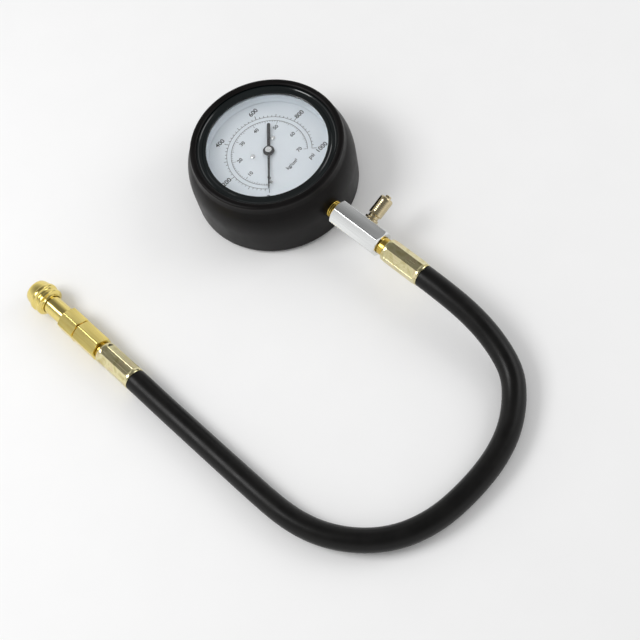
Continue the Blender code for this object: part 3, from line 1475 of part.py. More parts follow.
def coupler_body():
    """Hexagon, barrel and nose in one piece, with the valve chamber, the seal groove, the socket and the
    radial holes that hold the lock balls."""
    body = hex_bar(
        "coupler_body",
        COUPLER_HEX,
        coupler_hex_start,
        coupler_hex_end,
        HEX_CHAMFER,
        finish="polished_brass",
        parent=coupler_line,
    )
    groove = NOSE_RADIUS - SNAP_RING_DEPTH
    profile = (
        (0.0, coupler_hex_end - 2 * JOIN_BITE),
        (BARREL_RADIUS, coupler_hex_end - 2 * JOIN_BITE),
        (BARREL_RADIUS, barrel_end),
        (NOSE_RADIUS, barrel_end),
        (NOSE_RADIUS, snap_ring_back - GAP),
        (groove, snap_ring_back - GAP),
        (groove, snap_ring_front + GAP),
        (NOSE_RADIUS, snap_ring_front + GAP),
        (NOSE_RADIUS, nose_end - NOSE_CHAMFER),
        (NOSE_RADIUS - NOSE_CHAMFER, nose_end),
        (0.0, nose_end),
    )
    join(body, turned("coupler_barrel", profile, parent=coupler_line))
    thread = COUPLER_THREAD_RADIUS + GAP
    profile = (
        (0.0, coupler_hex_start - CUTTER_REACH),
        (thread, coupler_hex_start - CUTTER_REACH),
        (thread, valve_chamber_start),
        (VALVE_CHAMBER, valve_chamber_start),
        (VALVE_CHAMBER, valve_seat_start),
        (VALVE_SEAT_RADIUS, valve_seat_start),
        (VALVE_SEAT_RADIUS, seal_groove_start),
        (SEAL_GROOVE_RADIUS, seal_groove_start),
        (SEAL_GROOVE_RADIUS, seal_groove_end),
        (SOCKET_BORE, seal_groove_end),
        (SOCKET_BORE, nose_end - NOSE_CHAMFER / 2),
        (SOCKET_BORE + NOSE_CHAMFER / 2, nose_end),
        (SOCKET_BORE + NOSE_CHAMFER / 2, nose_end + CUTTER_REACH),
        (0.0, nose_end + CUTTER_REACH),
    )
    cut(body, turned("coupler_bore", profile, parent=coupler_line))
    for i in range(BALL_COUNT):
        cut(body, ball_hole(i))
    use_manifold_solver(body)


def ball_line(i):
    """A line outward from the coupler's axis through lock ball i."""
    line = add_line(f"ball_line_{i + 1}", (0.0, 0.0, ball_station), (0.0, math.pi / 2, 0.0))
    line.parent = coupler_line
    line.rotation_euler = (0.0, math.pi / 2, 2 * math.pi * i / BALL_COUNT)
    bpy.context.view_layer.update()
    return line


def ball_hole(i):
    """A radial hole that narrows inward, so that the ball can't fall into the socket."""
    wide = BALL_RADIUS + GAP * 0.8
    narrow = 0.95 * BALL_RADIUS
    profile = (
        (0.0, SOCKET_BORE - BALL_RADIUS),
        (narrow, SOCKET_BORE - BALL_RADIUS),
        (narrow, SOCKET_BORE),
        (wide, BALL_RING),
        (wide, NOSE_RADIUS + THREAD_RELIEF),
        (0.0, NOSE_RADIUS + THREAD_RELIEF),
    )
    return turned(f"ball_hole_{i + 1}", profile, parent=ball_line(i), sides=SIDES)


def lock_balls():
    for i in range(BALL_COUNT):
        profile = arc((0.0, BALL_RING), BALL_RADIUS, -math.pi / 2, math.pi / 2, 6)
        profile[0] = (0.0, profile[0][1])
        profile[-1] = (0.0, profile[-1][1])
        line = bpy.data.objects[f"ball_line_{i + 1}"]
        turned(f"lock_ball_{i + 1}", profile, "steel", line, sides=10)


def coupler_sleeve():
    """The sliding sleeve: two finger ridges, a dome, and a land inside that holds the balls in."""
    skirt = BARREL_RADIUS + GAP
    ridge_back = sleeve_back + SLEEVE_PLAIN
    ridge_end = ridge_back + SLEEVE_RIDGE_WIDTH
    front_ridge = ridge_end + SLEEVE_GROOVE_WIDTH
    front_ridge_end = front_ridge + SLEEVE_FRONT_RIDGE_WIDTH
    front_shoulder = SLEEVE_FRONT_RIDGE - SLEEVE_FRONT_ROUND
    counterbore = NOSE_RADIUS + SNAP_RING_RISE + GAP
    profile = [
        (skirt, sleeve_back),
        (skirt + SLEEVE_SKIRT_WALL, sleeve_back),
        (skirt + SLEEVE_SKIRT_WALL, ridge_back - SLEEVE_STEP),
        (SLEEVE_RIDGE - SLEEVE_ROUND, ridge_back),
        (SLEEVE_RIDGE, ridge_back + SLEEVE_ROUND),
        (SLEEVE_RIDGE, ridge_end - SLEEVE_ROUND),
        (SLEEVE_RIDGE - SLEEVE_ROUND, ridge_end),
    ]
    profile += bow(
        (SLEEVE_GROOVE, ridge_end + SLEEVE_STEP),
        (SLEEVE_GROOVE - SLEEVE_GROOVE_DIP, (ridge_end + front_ridge) / 2),
        (SLEEVE_GROOVE, front_ridge - SLEEVE_STEP),
        2,
    )
    profile += [
        (front_shoulder, front_ridge),
        (SLEEVE_FRONT_RIDGE, front_ridge + SLEEVE_FRONT_ROUND),
        (SLEEVE_FRONT_RIDGE, front_ridge_end - SLEEVE_FRONT_ROUND),
    ]
    dome_pull = (SLEEVE_GROOVE + GAP, sleeve_front - SLEEVE_DOME_PULL)
    profile += bow((front_shoulder, front_ridge_end), dome_pull, (SLEEVE_NOSE, sleeve_front), 5)
    profile += [
        (counterbore, sleeve_front),
        (counterbore, land_front),
        (SLEEVE_LAND_RADIUS, land_front),
        (SLEEVE_LAND_RADIUS, land_back),
        (skirt, land_back),
    ]
    turned("coupler_sleeve", profile, "polished_brass", coupler_line, 20)
    wire_diameter = SLEEVE_SPRING_WIRE
    coil = skirt - GAP / 3 - wire_diameter / 2
    points = helix(coil, barrel_end + GAP, land_back - GAP, SLEEVE_SPRING_TURNS, wire_diameter)
    wire("sleeve_spring", points, wire_diameter, "steel", coupler_line)
    inner = NOSE_RADIUS - SNAP_RING_DEPTH + GAP / 3
    outer = NOSE_RADIUS + SNAP_RING_RISE
    ring = ring_sector(inner, outer, math.radians(15), math.radians(345), 24)
    plate("snap_ring", ring, snap_ring_back, snap_ring_front, "steel", coupler_line)


def check_valve():
    """Seal ring, spring-loaded poppet and its spring, inside the coupler's body."""
    seal_outer = SEAL_GROOVE_RADIUS - GAP / 3
    half = SEAL_SECTION / 2
    middle = (seal_outer + SEAL_BORE) / 2
    across = (seal_outer - SEAL_BORE) / 2
    centre = (seal_groove_start + seal_groove_end) / 2
    profile = [
        (middle + across * math.cos(angle), centre + half * math.sin(angle))
        for angle in (2 * math.pi * i / 8 for i in range(8))
    ]
    turned("coupler_seal", profile, "black_rubber", coupler_line)
    cone_end = valve_seat_start - GAP
    cone_start = cone_end - POPPET_CONE
    head_start = cone_start - (POPPET_HEAD_LENGTH - POPPET_CONE)
    guide_end = head_start - POPPET_GUIDE_LENGTH
    profile = (
        (0.0, guide_end),
        (POPPET_GUIDE - POPPET_CHAMFER, guide_end),
        (POPPET_GUIDE, guide_end + POPPET_CHAMFER),
        (POPPET_GUIDE, head_start),
        (POPPET_HEAD, head_start),
        (POPPET_HEAD, cone_start),
        (VALVE_SEAT_RADIUS - POPPET_PLAY, cone_end),
        (POPPET_STEM + POPPET_CHAMFER, cone_end),
        (POPPET_STEM, cone_end + POPPET_CHAMFER),
        (POPPET_STEM, cone_end + POPPET_REACH - POPPET_CHAMFER),
        (POPPET_STEM - POPPET_CHAMFER, cone_end + POPPET_REACH),
        (0.0, cone_end + POPPET_REACH),
    )
    turned("check_poppet", profile, "brass", coupler_line, SIDES_SMALL)
    points = helix(
        CHECK_SPRING_RADIUS,
        adapter_thread_end + GAP,
        head_start - GAP,
        CHECK_SPRING_TURNS,
        CHECK_SPRING_WIRE,
    )
    wire("check_spring", points, CHECK_SPRING_WIRE, "steel", coupler_line)


for old in list(bpy.data.objects):
    bpy.data.objects.remove(old, do_unlink=True)

stem_line = add_line("stem_line", (0.0, 0.0, STEM_HEIGHT), (math.pi / 2, 0.0, 0.0))
relief_line = add_line("relief_line", (0.0, -relief_station, STEM_HEIGHT), (0.0, RELIEF_TILT, 0.0))
coupler_line = add_line("coupler_line", (COUPLER_X, 0.0, COUPLER_Z), (-math.pi / 2, 0.0, 0.0))
sector_line = add_line("sector_line", (*sector_pivot, 0.0))
tip_line = add_line("tip_line", (*link_tip_end, 0.0))

rubber_boot()
gauge_case()
window()
dial_plate()
pointer()
pinion_arbor()
sector_gear()
link()
movement_plates()
hairspring()
bourdon_tube()
tube_tip()
stem_socket()
case_screws()
valve_block()
relief_valve()
hose_tail("hose_tail_gauge", tail_seat, 1, TAIL_COLLAR_AT_BLOCK, stem_line)
ferrule("ferrule_gauge", ferrule_start, 1, stem_line)
hose()
hose_tail("hose_tail_coupler", coupler_tail_seat, -1, TAIL_COLLAR_AT_COUPLER, coupler_line)
ferrule("ferrule_coupler", coupler_ferrule_end, -1, coupler_line)
coupler_adapter()
coupler_body()
lock_balls()
coupler_sleeve()
check_valve()
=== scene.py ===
"""Looks of the compression tester gauge: a dial gauge in a rubber boot, its valve block, and a hose with
a quick coupler. Sizes here are in millimetres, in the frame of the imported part: the gauge's axis is Z,
the dial looks up and the stem runs toward -Y."""

import math

import bmesh
import bpy
from mathutils import Matrix, Vector


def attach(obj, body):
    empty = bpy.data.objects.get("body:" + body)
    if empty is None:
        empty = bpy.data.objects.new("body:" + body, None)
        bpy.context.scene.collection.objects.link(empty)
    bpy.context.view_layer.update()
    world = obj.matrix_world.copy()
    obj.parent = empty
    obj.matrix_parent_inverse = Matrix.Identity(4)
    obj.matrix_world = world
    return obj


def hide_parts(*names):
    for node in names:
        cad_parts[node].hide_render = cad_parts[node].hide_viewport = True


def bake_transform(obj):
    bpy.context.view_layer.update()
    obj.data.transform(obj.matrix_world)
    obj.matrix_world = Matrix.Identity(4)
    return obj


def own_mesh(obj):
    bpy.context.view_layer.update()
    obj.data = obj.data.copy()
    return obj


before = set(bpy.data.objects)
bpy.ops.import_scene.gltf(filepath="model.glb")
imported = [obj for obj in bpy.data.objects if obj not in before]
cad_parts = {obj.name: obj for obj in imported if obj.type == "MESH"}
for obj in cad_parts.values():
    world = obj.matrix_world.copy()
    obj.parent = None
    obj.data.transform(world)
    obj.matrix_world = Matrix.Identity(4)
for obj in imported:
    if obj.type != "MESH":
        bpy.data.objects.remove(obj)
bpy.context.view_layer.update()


# One millimetre in the scene's metres.
MM = 0.001


# Camera. It stands where the photograph was taken from, seen from the object, and is aimed at the
# middle of it, so that the frame is filled by the part and the viewing angle stays.
CAMERA_PLACE = Vector((-202.9, -329.4, 563.0)) * MM
CAMERA_TARGET = Vector((-51.0, -84.0, 8.0)) * MM
PHOTO_UP = Vector((0.6632, 0.5389, 0.5194))
LENS_MM = 66

view_line = (CAMERA_TARGET - CAMERA_PLACE).normalized()
view_up = (PHOTO_UP - PHOTO_UP.dot(view_line) * view_line).normalized()
view_right = view_line.cross(view_up)
camera = bpy.data.objects.new("camera", bpy.data.cameras.new("camera"))
bpy.context.scene.collection.objects.link(camera)
view_turn = Matrix((view_right, view_up, -view_line)).transposed().to_4x4()
camera.matrix_world = Matrix.Translation(CAMERA_PLACE) @ view_turn
camera.data.lens = LENS_MM
camera.data.clip_start = 0.01
bpy.context.scene.camera = camera
bpy.context.scene.view_settings.view_transform = "Standard"


# Materials. Tools that the materials of several pieces share.
def from_hex(code):
    """An sRGB hex colour as linear red, green, blue and alpha."""
    values = [int(code[i : i + 2], 16) / 255 for i in (1, 3, 5)]
    linear = [v / 12.92 if v <= 0.04045 else ((v + 0.055) / 1.055) ** 2.4 for v in values]
    return (*linear, 1.0)


def add_node(material, kind, settings=(), values=(), links=()):
    """A node with its settings, its sockets' values and the links into it."""
    made = material.node_tree.nodes.new(kind)
    for name, value in dict(settings).items():
        setattr(made, name, value)
    for socket, value in dict(values).items():
        made.inputs[socket].default_value = value
    for socket, source in dict(links).items():
        material.node_tree.links.new(source, made.inputs[socket])
    return made


def new_material(name, metallic, roughness):
    """A material with a Principled shader, the shader's inputs, and the object's own coordinates."""
    material = bpy.data.materials.new(name)
    material.use_nodes = True
    sockets = material.node_tree.nodes["Principled BSDF"].inputs
    sockets["Metallic"].default_value = metallic
    sockets["Roughness"].default_value = roughness
    place = add_node(material, "ShaderNodeTexCoord").outputs["Object"]
    return material, sockets, place


def noise(material, place, size_mm, detail, **more):
    """A soft pattern of clouds, about size_mm across."""
    values = {"Scale": 1 / (size_mm * MM), "Detail": detail, **more}
    clouds = add_node(material, "ShaderNodeTexNoise", values=values, links={"Vector": place})
    return clouds.outputs["Fac"]


# Nearly all of a noise pattern lies between these two of its values.
NOISE_LOW = 0.3
NOISE_HIGH = 0.7


def vary_sheen(material, skin, factor, smooth, rough):
    """Lets a pattern move the skin between two roughnesses."""
    sheen = add_node(
        material,
        "ShaderNodeMapRange",
        values={"From Min": NOISE_LOW, "From Max": NOISE_HIGH, "To Min": smooth, "To Max": rough},
        links={"Value": factor},
    )
    material.node_tree.links.new(sheen.outputs["Result"], skin["Roughness"])


def vary(material, skin, factor, dark, light, smooth, rough):
    """Lets a pattern move the skin between two colours and two roughnesses."""
    tone = add_node(
        material,
        "ShaderNodeMix",
        settings={"data_type": "RGBA"},
        values={6: from_hex(dark), 7: from_hex(light)},
        links={0: factor},
    )
    material.node_tree.links.new(tone.outputs[2], skin["Base Color"])
    vary_sheen(material, skin, factor, smooth, rough)


def raise_grain(material, skin, height, strength, depth_mm):
    """Gives the skin a fine relief from a pattern."""
    bump = add_node(
        material,
        "ShaderNodeBump",
        values={"Strength": strength, "Distance": depth_mm * MM},
        links={"Height": height},
    )
    material.node_tree.links.new(bump.outputs["Normal"], skin["Normal"])


# Strength of the relief on bar metals, and the length of a drawing die's streaks.
BAR_GRAIN = 0.4
STREAK_LENGTH = 30.0


def lathe_lines(material, place, pitch_mm):
    """The pattern that a cutting tool leaves: rings round the local Z axis, on faces and sides alike."""
    split = add_node(material, "ShaderNodeSeparateXYZ", links={0: place})
    flat = add_node(
        material,
        "ShaderNodeCombineXYZ",
        links={0: split.outputs["X"], 1: split.outputs["Y"]},
    )
    reach = add_node(
        material,
        "ShaderNodeVectorMath",
        settings={"operation": "LENGTH"},
        links={0: flat.outputs["Vector"]},
    )
    rings = add_node(
        material,
        "ShaderNodeCombineXYZ",
        links={0: reach.outputs["Value"], 2: split.outputs["Z"]},
    )
    return noise(material, rings.outputs["Vector"], pitch_mm, 3.0, Roughness=0.6)


def turned_metal(name, dark, light, smooth, rough, pitch_mm=0.3, depth_mm=0.002):
    """Bar turned on a lathe and left bright: fine rings, drawn coarser than real so that they show."""
    material, skin, place = new_material(name, 1.0, smooth)
    lines = lathe_lines(material, place, pitch_mm)
    vary(material, skin, lines, dark, light, smooth, rough)
    raise_grain(material, skin, lines, BAR_GRAIN, depth_mm)
    return material


def lengthwise_lines(material, place, width_mm, length_mm):
    """The pattern that a drawing die leaves: long thin streaks along the local Z axis."""
    stretched = add_node(
        material,
        "ShaderNodeMapping",
        values={"Scale": (1 / (width_mm * MM), 1 / (width_mm * MM), 1 / (length_mm * MM))},
        links={"Vector": place},
    )
    streaks = add_node(
        material,
        "ShaderNodeTexNoise",
        values={"Scale": 1.0, "Detail": 3.0, "Roughness": 0.6},
        links={"Vector": stretched.outputs["Vector"]},
    )
    return streaks.outputs["Fac"]


def drawn_metal(name, dark, light, smooth, rough, width_mm=0.5, depth_mm=0.002):
    """Bar drawn through a hexagon die: long streaks, drawn coarser than real so that they show."""
    material, skin, place = new_material(name, 1.0, smooth)
    streaks = lengthwise_lines(material, place, width_mm, STREAK_LENGTH)
    vary(material, skin, streaks, dark, light, smooth, rough)
    raise_grain(material, skin, streaks, BAR_GRAIN, depth_mm)
    return material


# Shapes. Tools that build a mesh, cut it, and put it on its body.
def arc(centre, radius, start, end, steps):
    """Points along an arc in degrees, both ends included."""
    points = []
    for i in range(steps + 1):
        angle = math.radians(start + (end - start) * i / steps)
        points.append((centre[0] + radius * math.cos(angle), centre[1] + radius * math.sin(angle)))
    return points


def bow(start, pull, end, steps):
    """Points of a smooth bow from start to end, drawn toward a third point."""
    points = []
    for i in range(steps + 1):
        t = i / steps
        weights = ((1 - t) ** 2, 2 * t * (1 - t), t * t)
        points.append(tuple(sum(w * p[k] for w, p in zip(weights, (start, pull, end))) for k in (0, 1)))
    return points


def finished_mesh(name, bm, sharp=30):
    """A mesh in metres from a bmesh in millimetres, smooth but for its sharp corners."""
    bmesh.ops.recalc_face_normals(bm, faces=bm.faces)
    mesh = bpy.data.meshes.new(name)
    bm.to_mesh(mesh)
    bm.free()
    mesh.transform(Matrix.Scale(MM, 4))
    mesh.shade_smooth()
    mesh.set_sharp_from_angle(angle=math.radians(sharp))
    return mesh


def turned_mesh(name, profile, sides=96):
    """A shape turned about Z from (radius, height) points: a ring's section, or from axis to axis."""
    bm = bmesh.new()
    points = [bm.verts.new((radius, 0.0, height)) for radius, height in profile]
    edges = [bm.edges.new(pair) for pair in zip(points, points[1:])]
    if profile[0][0] > 0 or profile[-1][0] > 0:
        edges.append(bm.edges.new((points[-1], points[0])))
    bmesh.ops.spin(
        bm,
        geom=points + edges,
        cent=(0, 0, 0),
        axis=(0, 0, 1),
        angle=2 * math.pi,
        steps=sides,
        use_merge=True,
    )
    bmesh.ops.remove_doubles(bm, verts=bm.verts, dist=1e-4)
    return finished_mesh(name, bm)


def place_piece(name, mesh, material, body, nodes=(), where=None):
    """Puts a piece on its body, in the place of the solids it stands for. One given no body is left
    unattached.
    """
    piece = bpy.data.objects.new(name, mesh)
    bpy.context.scene.collection.objects.link(piece)
    piece.matrix_world = where or Matrix.Identity(4)
    mesh.materials.clear()
    mesh.materials.append(material)
    if body:
        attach(piece, body)
    if nodes:
        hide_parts(*nodes)
    return piece


def carve(mesh, tools, operation="DIFFERENCE"):
    """A mesh with other meshes cut out of it, or joined to it, or with what it shares with them."""
    work = bpy.data.objects.new("work", mesh)
    bpy.context.scene.collection.objects.link(work)
    others = []
    for tool, where in tools:
        other = bpy.data.objects.new("tool", tool)
        other.matrix_world = where
        bpy.context.scene.collection.objects.link(other)
        others.append(other)
        step = work.modifiers.new("carve", "BOOLEAN")
        step.operation = operation
        step.object = other
    bpy.context.view_layer.update()
    evaluated = work.evaluated_get(bpy.context.evaluated_depsgraph_get())
    result = bpy.data.meshes.new_from_object(evaluated)
    result.name = mesh.name
    for other in (work, *others):
        bpy.data.objects.remove(other)
    result.shade_smooth()
    result.set_sharp_from_angle(angle=math.radians(30))
    return result


def give(material, *nodes):
    """Puts a material on solids of the part that stay as they are."""
    for name in nodes:
        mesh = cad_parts[name].data
        mesh.materials.clear()
        mesh.materials.append(material)


# Hose. Smooth-covered rubber hose of 12.5 mm, laid in one U from the block's ferrule to the coupler's,
# with its weight on the bench. The route's points are the part's own, and it is seen from end to end.
def extruded_rubber():
    """Extruded rubber cover: black with a satin sheen, a fine grain, and smears of bloom from handling."""
    grain_mm = 0.5
    smear_mm = 9.0
    material, skin, place = new_material("extruded_rubber", 0.0, 0.4)
    skin["Specular IOR Level"].default_value = 0.22
    grain = noise(material, place, grain_mm, 2.0)
    smear = noise(material, place, smear_mm, 4.0, Roughness=0.6)
    vary(material, skin, smear, "#070707", "#151413", 0.30, 0.42)
    raise_grain(material, skin, grain, 0.15, 0.04)
    return material


HOSE_RADIUS = 6.25
HOSE_GAP = 0.3
HOSE_LEAD = 4.0
ROUTE_PARTS = 6
EASING_PASSES = 16
STEM_HEIGHT = 19.0
COUPLER_X = -140.6
COUPLER_Z = 8.75
FERRULE_STARTS = (-87.6, -32.6)
FERRULE_LENGTH = 25.2
HOSE_ROUTE = (
    (0.0, -120.0, 18.9),
    (0.0, -128.0, 18.5),
    (0.0, -139.0, 17.3),
    (-1.1, -154.4, 14.8),
    (-4.4, -168.8, 11.6),
    (-9.6, -181.3, 9.0),
    (-18.9, -190.2, 7.4),
    (-33.3, -199.3, 6.6),
    (-52.6, -204.0, 6.4),
    (-71.0, -204.4, 6.4),
    (-90.4, -202.7, 6.4),
    (-109.0, -195.5, 6.4),
    (-123.1, -183.9, 6.4),
    (-134.5, -166.7, 6.4),
    (-139.8, -147.8, 6.4),
    (-140.5, -128.3, 6.4),
    (-140.6, -105.9, 6.4),
    (-140.6, -83.2, 6.4),
    (-140.6, -59.4, 6.5),
    (-140.6, -45.0, 7.8),
)


def smooth_route(points, parts):
    """Points along a smooth curve through the given ones, some parts between each two."""
    knots = [Vector(point) for point in points]
    knots = [2 * knots[0] - knots[1]] + knots + [2 * knots[-1] - knots[-2]]
    fine = [knots[1]]
    for before, start, end, after in zip(knots, knots[1:], knots[2:], knots[3:]):
        spans = [math.sqrt((b - a).length) for a, b in ((before, start), (start, end), (end, after))]
        leave = (start - before) / spans[0] - (end - before) / (spans[0] + spans[1])
        leave = (leave + (end - start) / spans[1]) * spans[1]
        arrive = (end - start) / spans[1] - (after - start) / (spans[1] + spans[2])
        arrive = (arrive + (after - end) / spans[2]) * spans[1]
        for i in range(1, parts + 1):
            t = i / parts
            place = (2 * t**3 - 3 * t**2 + 1) * start + (t**3 - 2 * t**2 + t) * leave
            fine.append(place + (3 * t**2 - 2 * t**3) * end + (t**3 - t**2) * arrive)
    return fine


hose_start = Vector((0.0, FERRULE_STARTS[0] - FERRULE_LENGTH - HOSE_GAP, STEM_HEIGHT))
hose_end = Vector((COUPLER_X, FERRULE_STARTS[1] - HOSE_GAP, COUPLER_Z))
lead = Vector((0.0, -HOSE_LEAD, 0.0))
route = [hose_start, *smooth_route((hose_start + lead, *HOSE_ROUTE, hose_end + lead), ROUTE_PARTS), hose_end]
for _ in range(EASING_PASSES):
    eased = [(a + 2 * b + c) / 4 for a, b, c in zip(route, route[1:], route[2:])]
    route = route[:2] + eased[1:-1] + route[-2:]
hose_curve = bpy.data.curves.new("hose_cover", "CURVE")
hose_curve.dimensions = "3D"
hose_curve.bevel_depth = HOSE_RADIUS * MM
hose_curve.bevel_resolution = 14
hose_curve.use_fill_caps = True
spline = hose_curve.splines.new("POLY")
spline.points.add(len(route) - 1)
for point, place in zip(spline.points, route):
    point.co = (*(place * MM), 1.0)
spline.use_smooth = True
hose_curve.materials.append(extruded_rubber())
hose = bpy.data.objects.new("hose_cover", hose_curve)
bpy.context.scene.collection.objects.link(hose)
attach(hose, "gauge_body")
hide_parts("hose")


# Rubber boot. One thick moulding of black rubber, pulled over the gauge: a closed flat back, a side that
# bulges, a rolled lip over the bezel, and a hole that hugs the stem.
def moulded_rubber():
    """Carbon-black rubber from a smooth mould: nearly black, satin, with a fine grain and faint bloom."""
    grain_mm = 0.35
    bloom_mm = 14.0
    material, skin, place = new_material("moulded_rubber", 0.0, 0.5)
    skin["Specular IOR Level"].default_value = 0.15
    grain = noise(material, place, grain_mm, 3.0, Roughness=0.6)
    bloom = noise(material, place, bloom_mm, 4.0, Roughness=0.65)
    vary(material, skin, bloom, "#060505", "#120F0F", 0.32, 0.46)
    raise_grain(material, skin, grain, 0.18, 0.04)
    return material


# Radii and heights of the boot's section. The belly is its widest place, and the two heights pull the side's
# curve. The gap is the one that the case has in the boot.
GAP = 0.3
CASE_RADIUS = 40.0
BACK_RADIUS = 44.2
BACK_CORNER = 3.2
BELLY = 47.5
BELLY_LOW = 10.45
BELLY_HIGH = 29.0
SHOULDER = (43.7, 34.6)
LIP_OUTER = 43.0
LIP_BEND = 37.2
LIP_UNDER = 38.8
LIP_CREST = 41.15
LIP_INNER = 39.3
BOOT_TOP = 40.0
BOOT_INNER = 41.3
BOOT_FLOOR = 3.0
LEDGE_TOP = 4.3
LEDGE_INNER = 35.5
STEM_HOLE = 8.38
THREAD_HOLE = 5.16

here = Matrix.Identity(4)
stem_line = Matrix.Translation((0, 0, STEM_HEIGHT * MM)) @ Matrix.Rotation(math.pi / 2, 4, "X")
rubber = moulded_rubber()
boot_inside = CASE_RADIUS + GAP
profile = [(0.0, 0.0)]
profile += arc((BACK_RADIUS, BACK_CORNER), BACK_CORNER, -90, -15, 10)
profile += bow(profile[-1], (BELLY, BELLY_LOW), (BELLY, STEM_HEIGHT), 16)[1:]
profile += bow((BELLY, STEM_HEIGHT), (BELLY, BELLY_HIGH), SHOULDER, 20)[1:]
profile += bow(SHOULDER, (LIP_OUTER, LIP_BEND), (LIP_OUTER, LIP_UNDER), 8)[1:]
profile += bow((LIP_OUTER, LIP_UNDER), (LIP_OUTER, BOOT_TOP), (LIP_CREST, BOOT_TOP), 8)[1:]
profile += bow((LIP_CREST, BOOT_TOP), (LIP_INNER, BOOT_TOP), (LIP_INNER, LIP_UNDER), 8)[1:]
profile += [(BOOT_INNER, LIP_UNDER), (BOOT_INNER, 28.7), (boot_inside, 28.4), (boot_inside, LEDGE_TOP)]
profile += [(LEDGE_INNER, LEDGE_TOP), (LEDGE_INNER, BOOT_FLOOR), (0.0, BOOT_FLOOR)]
hole_profile = [(0, 36.0), (STEM_HOLE, 36.0), (STEM_HOLE, 44.5), (THREAD_HOLE, 44.5)]
hole_profile += [(THREAD_HOLE, 49.5), (0, 49.5)]
stem_hole = turned_mesh("stem_hole", hole_profile)
boot_mesh = carve(turned_mesh("boot", profile, 192), [(stem_hole, stem_line)])
place_piece("boot", boot_mesh, rubber, "gauge_body", ["rubber_boot"])
give(rubber, "lens_gasket", "relief_seal", "coupler_seal")


# Case and bezel. A drawn steel cup and a pressed ring that crimps the window on it, both stoved black.
# The ring's front shows inside the boot's lip, with a pressed step and a rolled inner edge.
def black_enamel():
    """Stoved enamel on pressed steel: glossy black with a cold cast and a faint orange peel."""
    peel_mm = 1.6
    haze_mm = 12.0
    material, skin, place = new_material("black_enamel", 0.0, 0.12)
    peel = noise(material, place, peel_mm, 1.0)
    haze = noise(material, place, haze_mm, 4.0)
    vary(material, skin, haze, "#040809", "#0A1314", 0.10, 0.20)
    raise_grain(material, skin, peel, 0.06, 0.02)
    skin["Coat Weight"].default_value = 0.3
    skin["Coat Roughness"].default_value = 0.05
    return material


BEZEL_OUTER = 41.0
BEZEL_INNER = 34.0
BEZEL_TOP = 38.5
BEZEL_BOTTOM = 29.0
BEZEL_ROLL = 0.6
STEP_OUTER = 38.4
STEP_INNER = 35.9
STEP_SLOPE = 0.4
STEP_DEPTH = 0.3

enamel = black_enamel()
give(enamel, "gauge_case")
skirt_inside = CASE_RADIUS + GAP
roll_height = BEZEL_TOP - BEZEL_ROLL
step_floor = BEZEL_TOP - STEP_DEPTH
profile = [(skirt_inside, BEZEL_BOTTOM), (BEZEL_OUTER, BEZEL_BOTTOM)]
profile += arc((BEZEL_OUTER - BEZEL_ROLL, roll_height), BEZEL_ROLL, 0, 90, 6)
profile += [(STEP_OUTER, BEZEL_TOP), (STEP_OUTER - STEP_SLOPE, step_floor)]
profile += [(STEP_INNER + STEP_SLOPE, step_floor), (STEP_INNER, BEZEL_TOP)]
profile += arc((BEZEL_INNER + BEZEL_ROLL, roll_height), BEZEL_ROLL, 90, 270, 12)
profile += [(skirt_inside, BEZEL_TOP - 2 * BEZEL_ROLL)]
place_piece("bezel", turned_mesh("bezel", profile, 192), enamel, "gauge_body", ["bezel_ring"])


# Dial. A thin aluminium disc with white enamel and screen-printed black scales: 0 to 1000 outside and 0
# to 70 inside, over three quarters of a turn. A white ring stands between it and the window.
def white_enamel():
    """White stoved enamel: cool white, soft sheen, with barely visible clouds in its tone."""
    cloud_mm = 16.0
    grain_mm = 0.6
    material, skin, place = new_material("white_enamel", 0.0, 0.45)
    cloud = noise(material, place, cloud_mm, 3.0)
    grain = noise(material, place, grain_mm, 2.0)
    vary(material, skin, cloud, "#E4EDF4", "#F3F9FE", 0.38, 0.50)
    raise_grain(material, skin, grain, 0.05, 0.02)
    return material


def screen_ink():
    """Screen-printed ink: flat black, a little thin and patchy at the edge of what the eye can see."""
    patch_mm = 0.8
    material, skin, place = new_material("screen_ink", 0.0, 0.6)
    patch = noise(material, place, patch_mm, 2.0)
    vary(material, skin, patch, "#0E1214", "#22292D", 0.5, 0.7)
    return material


DIAL_RADIUS = 38.4
DIAL_HOLE = 1.5
DIAL_BOTTOM = 28.2
DIAL_TOP = 29.0
WALL_INNER = 34.3
WALL_OUTER = 38.7
WALL_BOTTOM = 29.3
WALL_TOP = 34.5
WALL_LEAN = 0.7
# Letters are thickened by this share of their size.
INK_SPREAD = 0.02
INK_TOP = 29.05
ZERO_ANGLE = 225.0
SWEEP = 270.0
OUTER_STEP = 200
INNER_STEP = 10
OUTER_ARC = 24.0
INNER_ARC = 21.5
OUTER_NUMBERS = 29.4
INNER_NUMBERS = 16.9
LINE_HALF = 0.12
OUTER_TICKS = (2.6, 1.8, 1.1)
INNER_TICKS = (-2.2, -1.5, -0.9)
OUTER_TICK_WIDTH = 0.28
INNER_TICK_WIDTH = 0.24
UNIT_PLACES = (("psi", 3.4, (13.0, -20.4)), ("kg/cm\u00b2", 3.0, (2.4, -15.6)))

white = white_enamel()
ink = screen_ink()
dial_profile = [(DIAL_HOLE, DIAL_BOTTOM), (DIAL_RADIUS, DIAL_BOTTOM)]
dial_profile += [(DIAL_RADIUS, DIAL_TOP), (DIAL_HOLE, DIAL_TOP)]
dial_mesh = turned_mesh("dial", dial_profile, 128)
place_piece("dial", dial_mesh, white, "gauge_body", ["dial_plate"])
wall_profile = [(WALL_INNER, WALL_BOTTOM), (WALL_OUTER, WALL_BOTTOM)]
wall_profile += [(WALL_OUTER, WALL_TOP), (WALL_INNER + WALL_LEAN, WALL_TOP)]
wall_mesh = turned_mesh("dial_wall", wall_profile, 128)
place_piece("dial_wall", wall_mesh, white, "gauge_body", ["dial_ring"])

bm = bmesh.new()


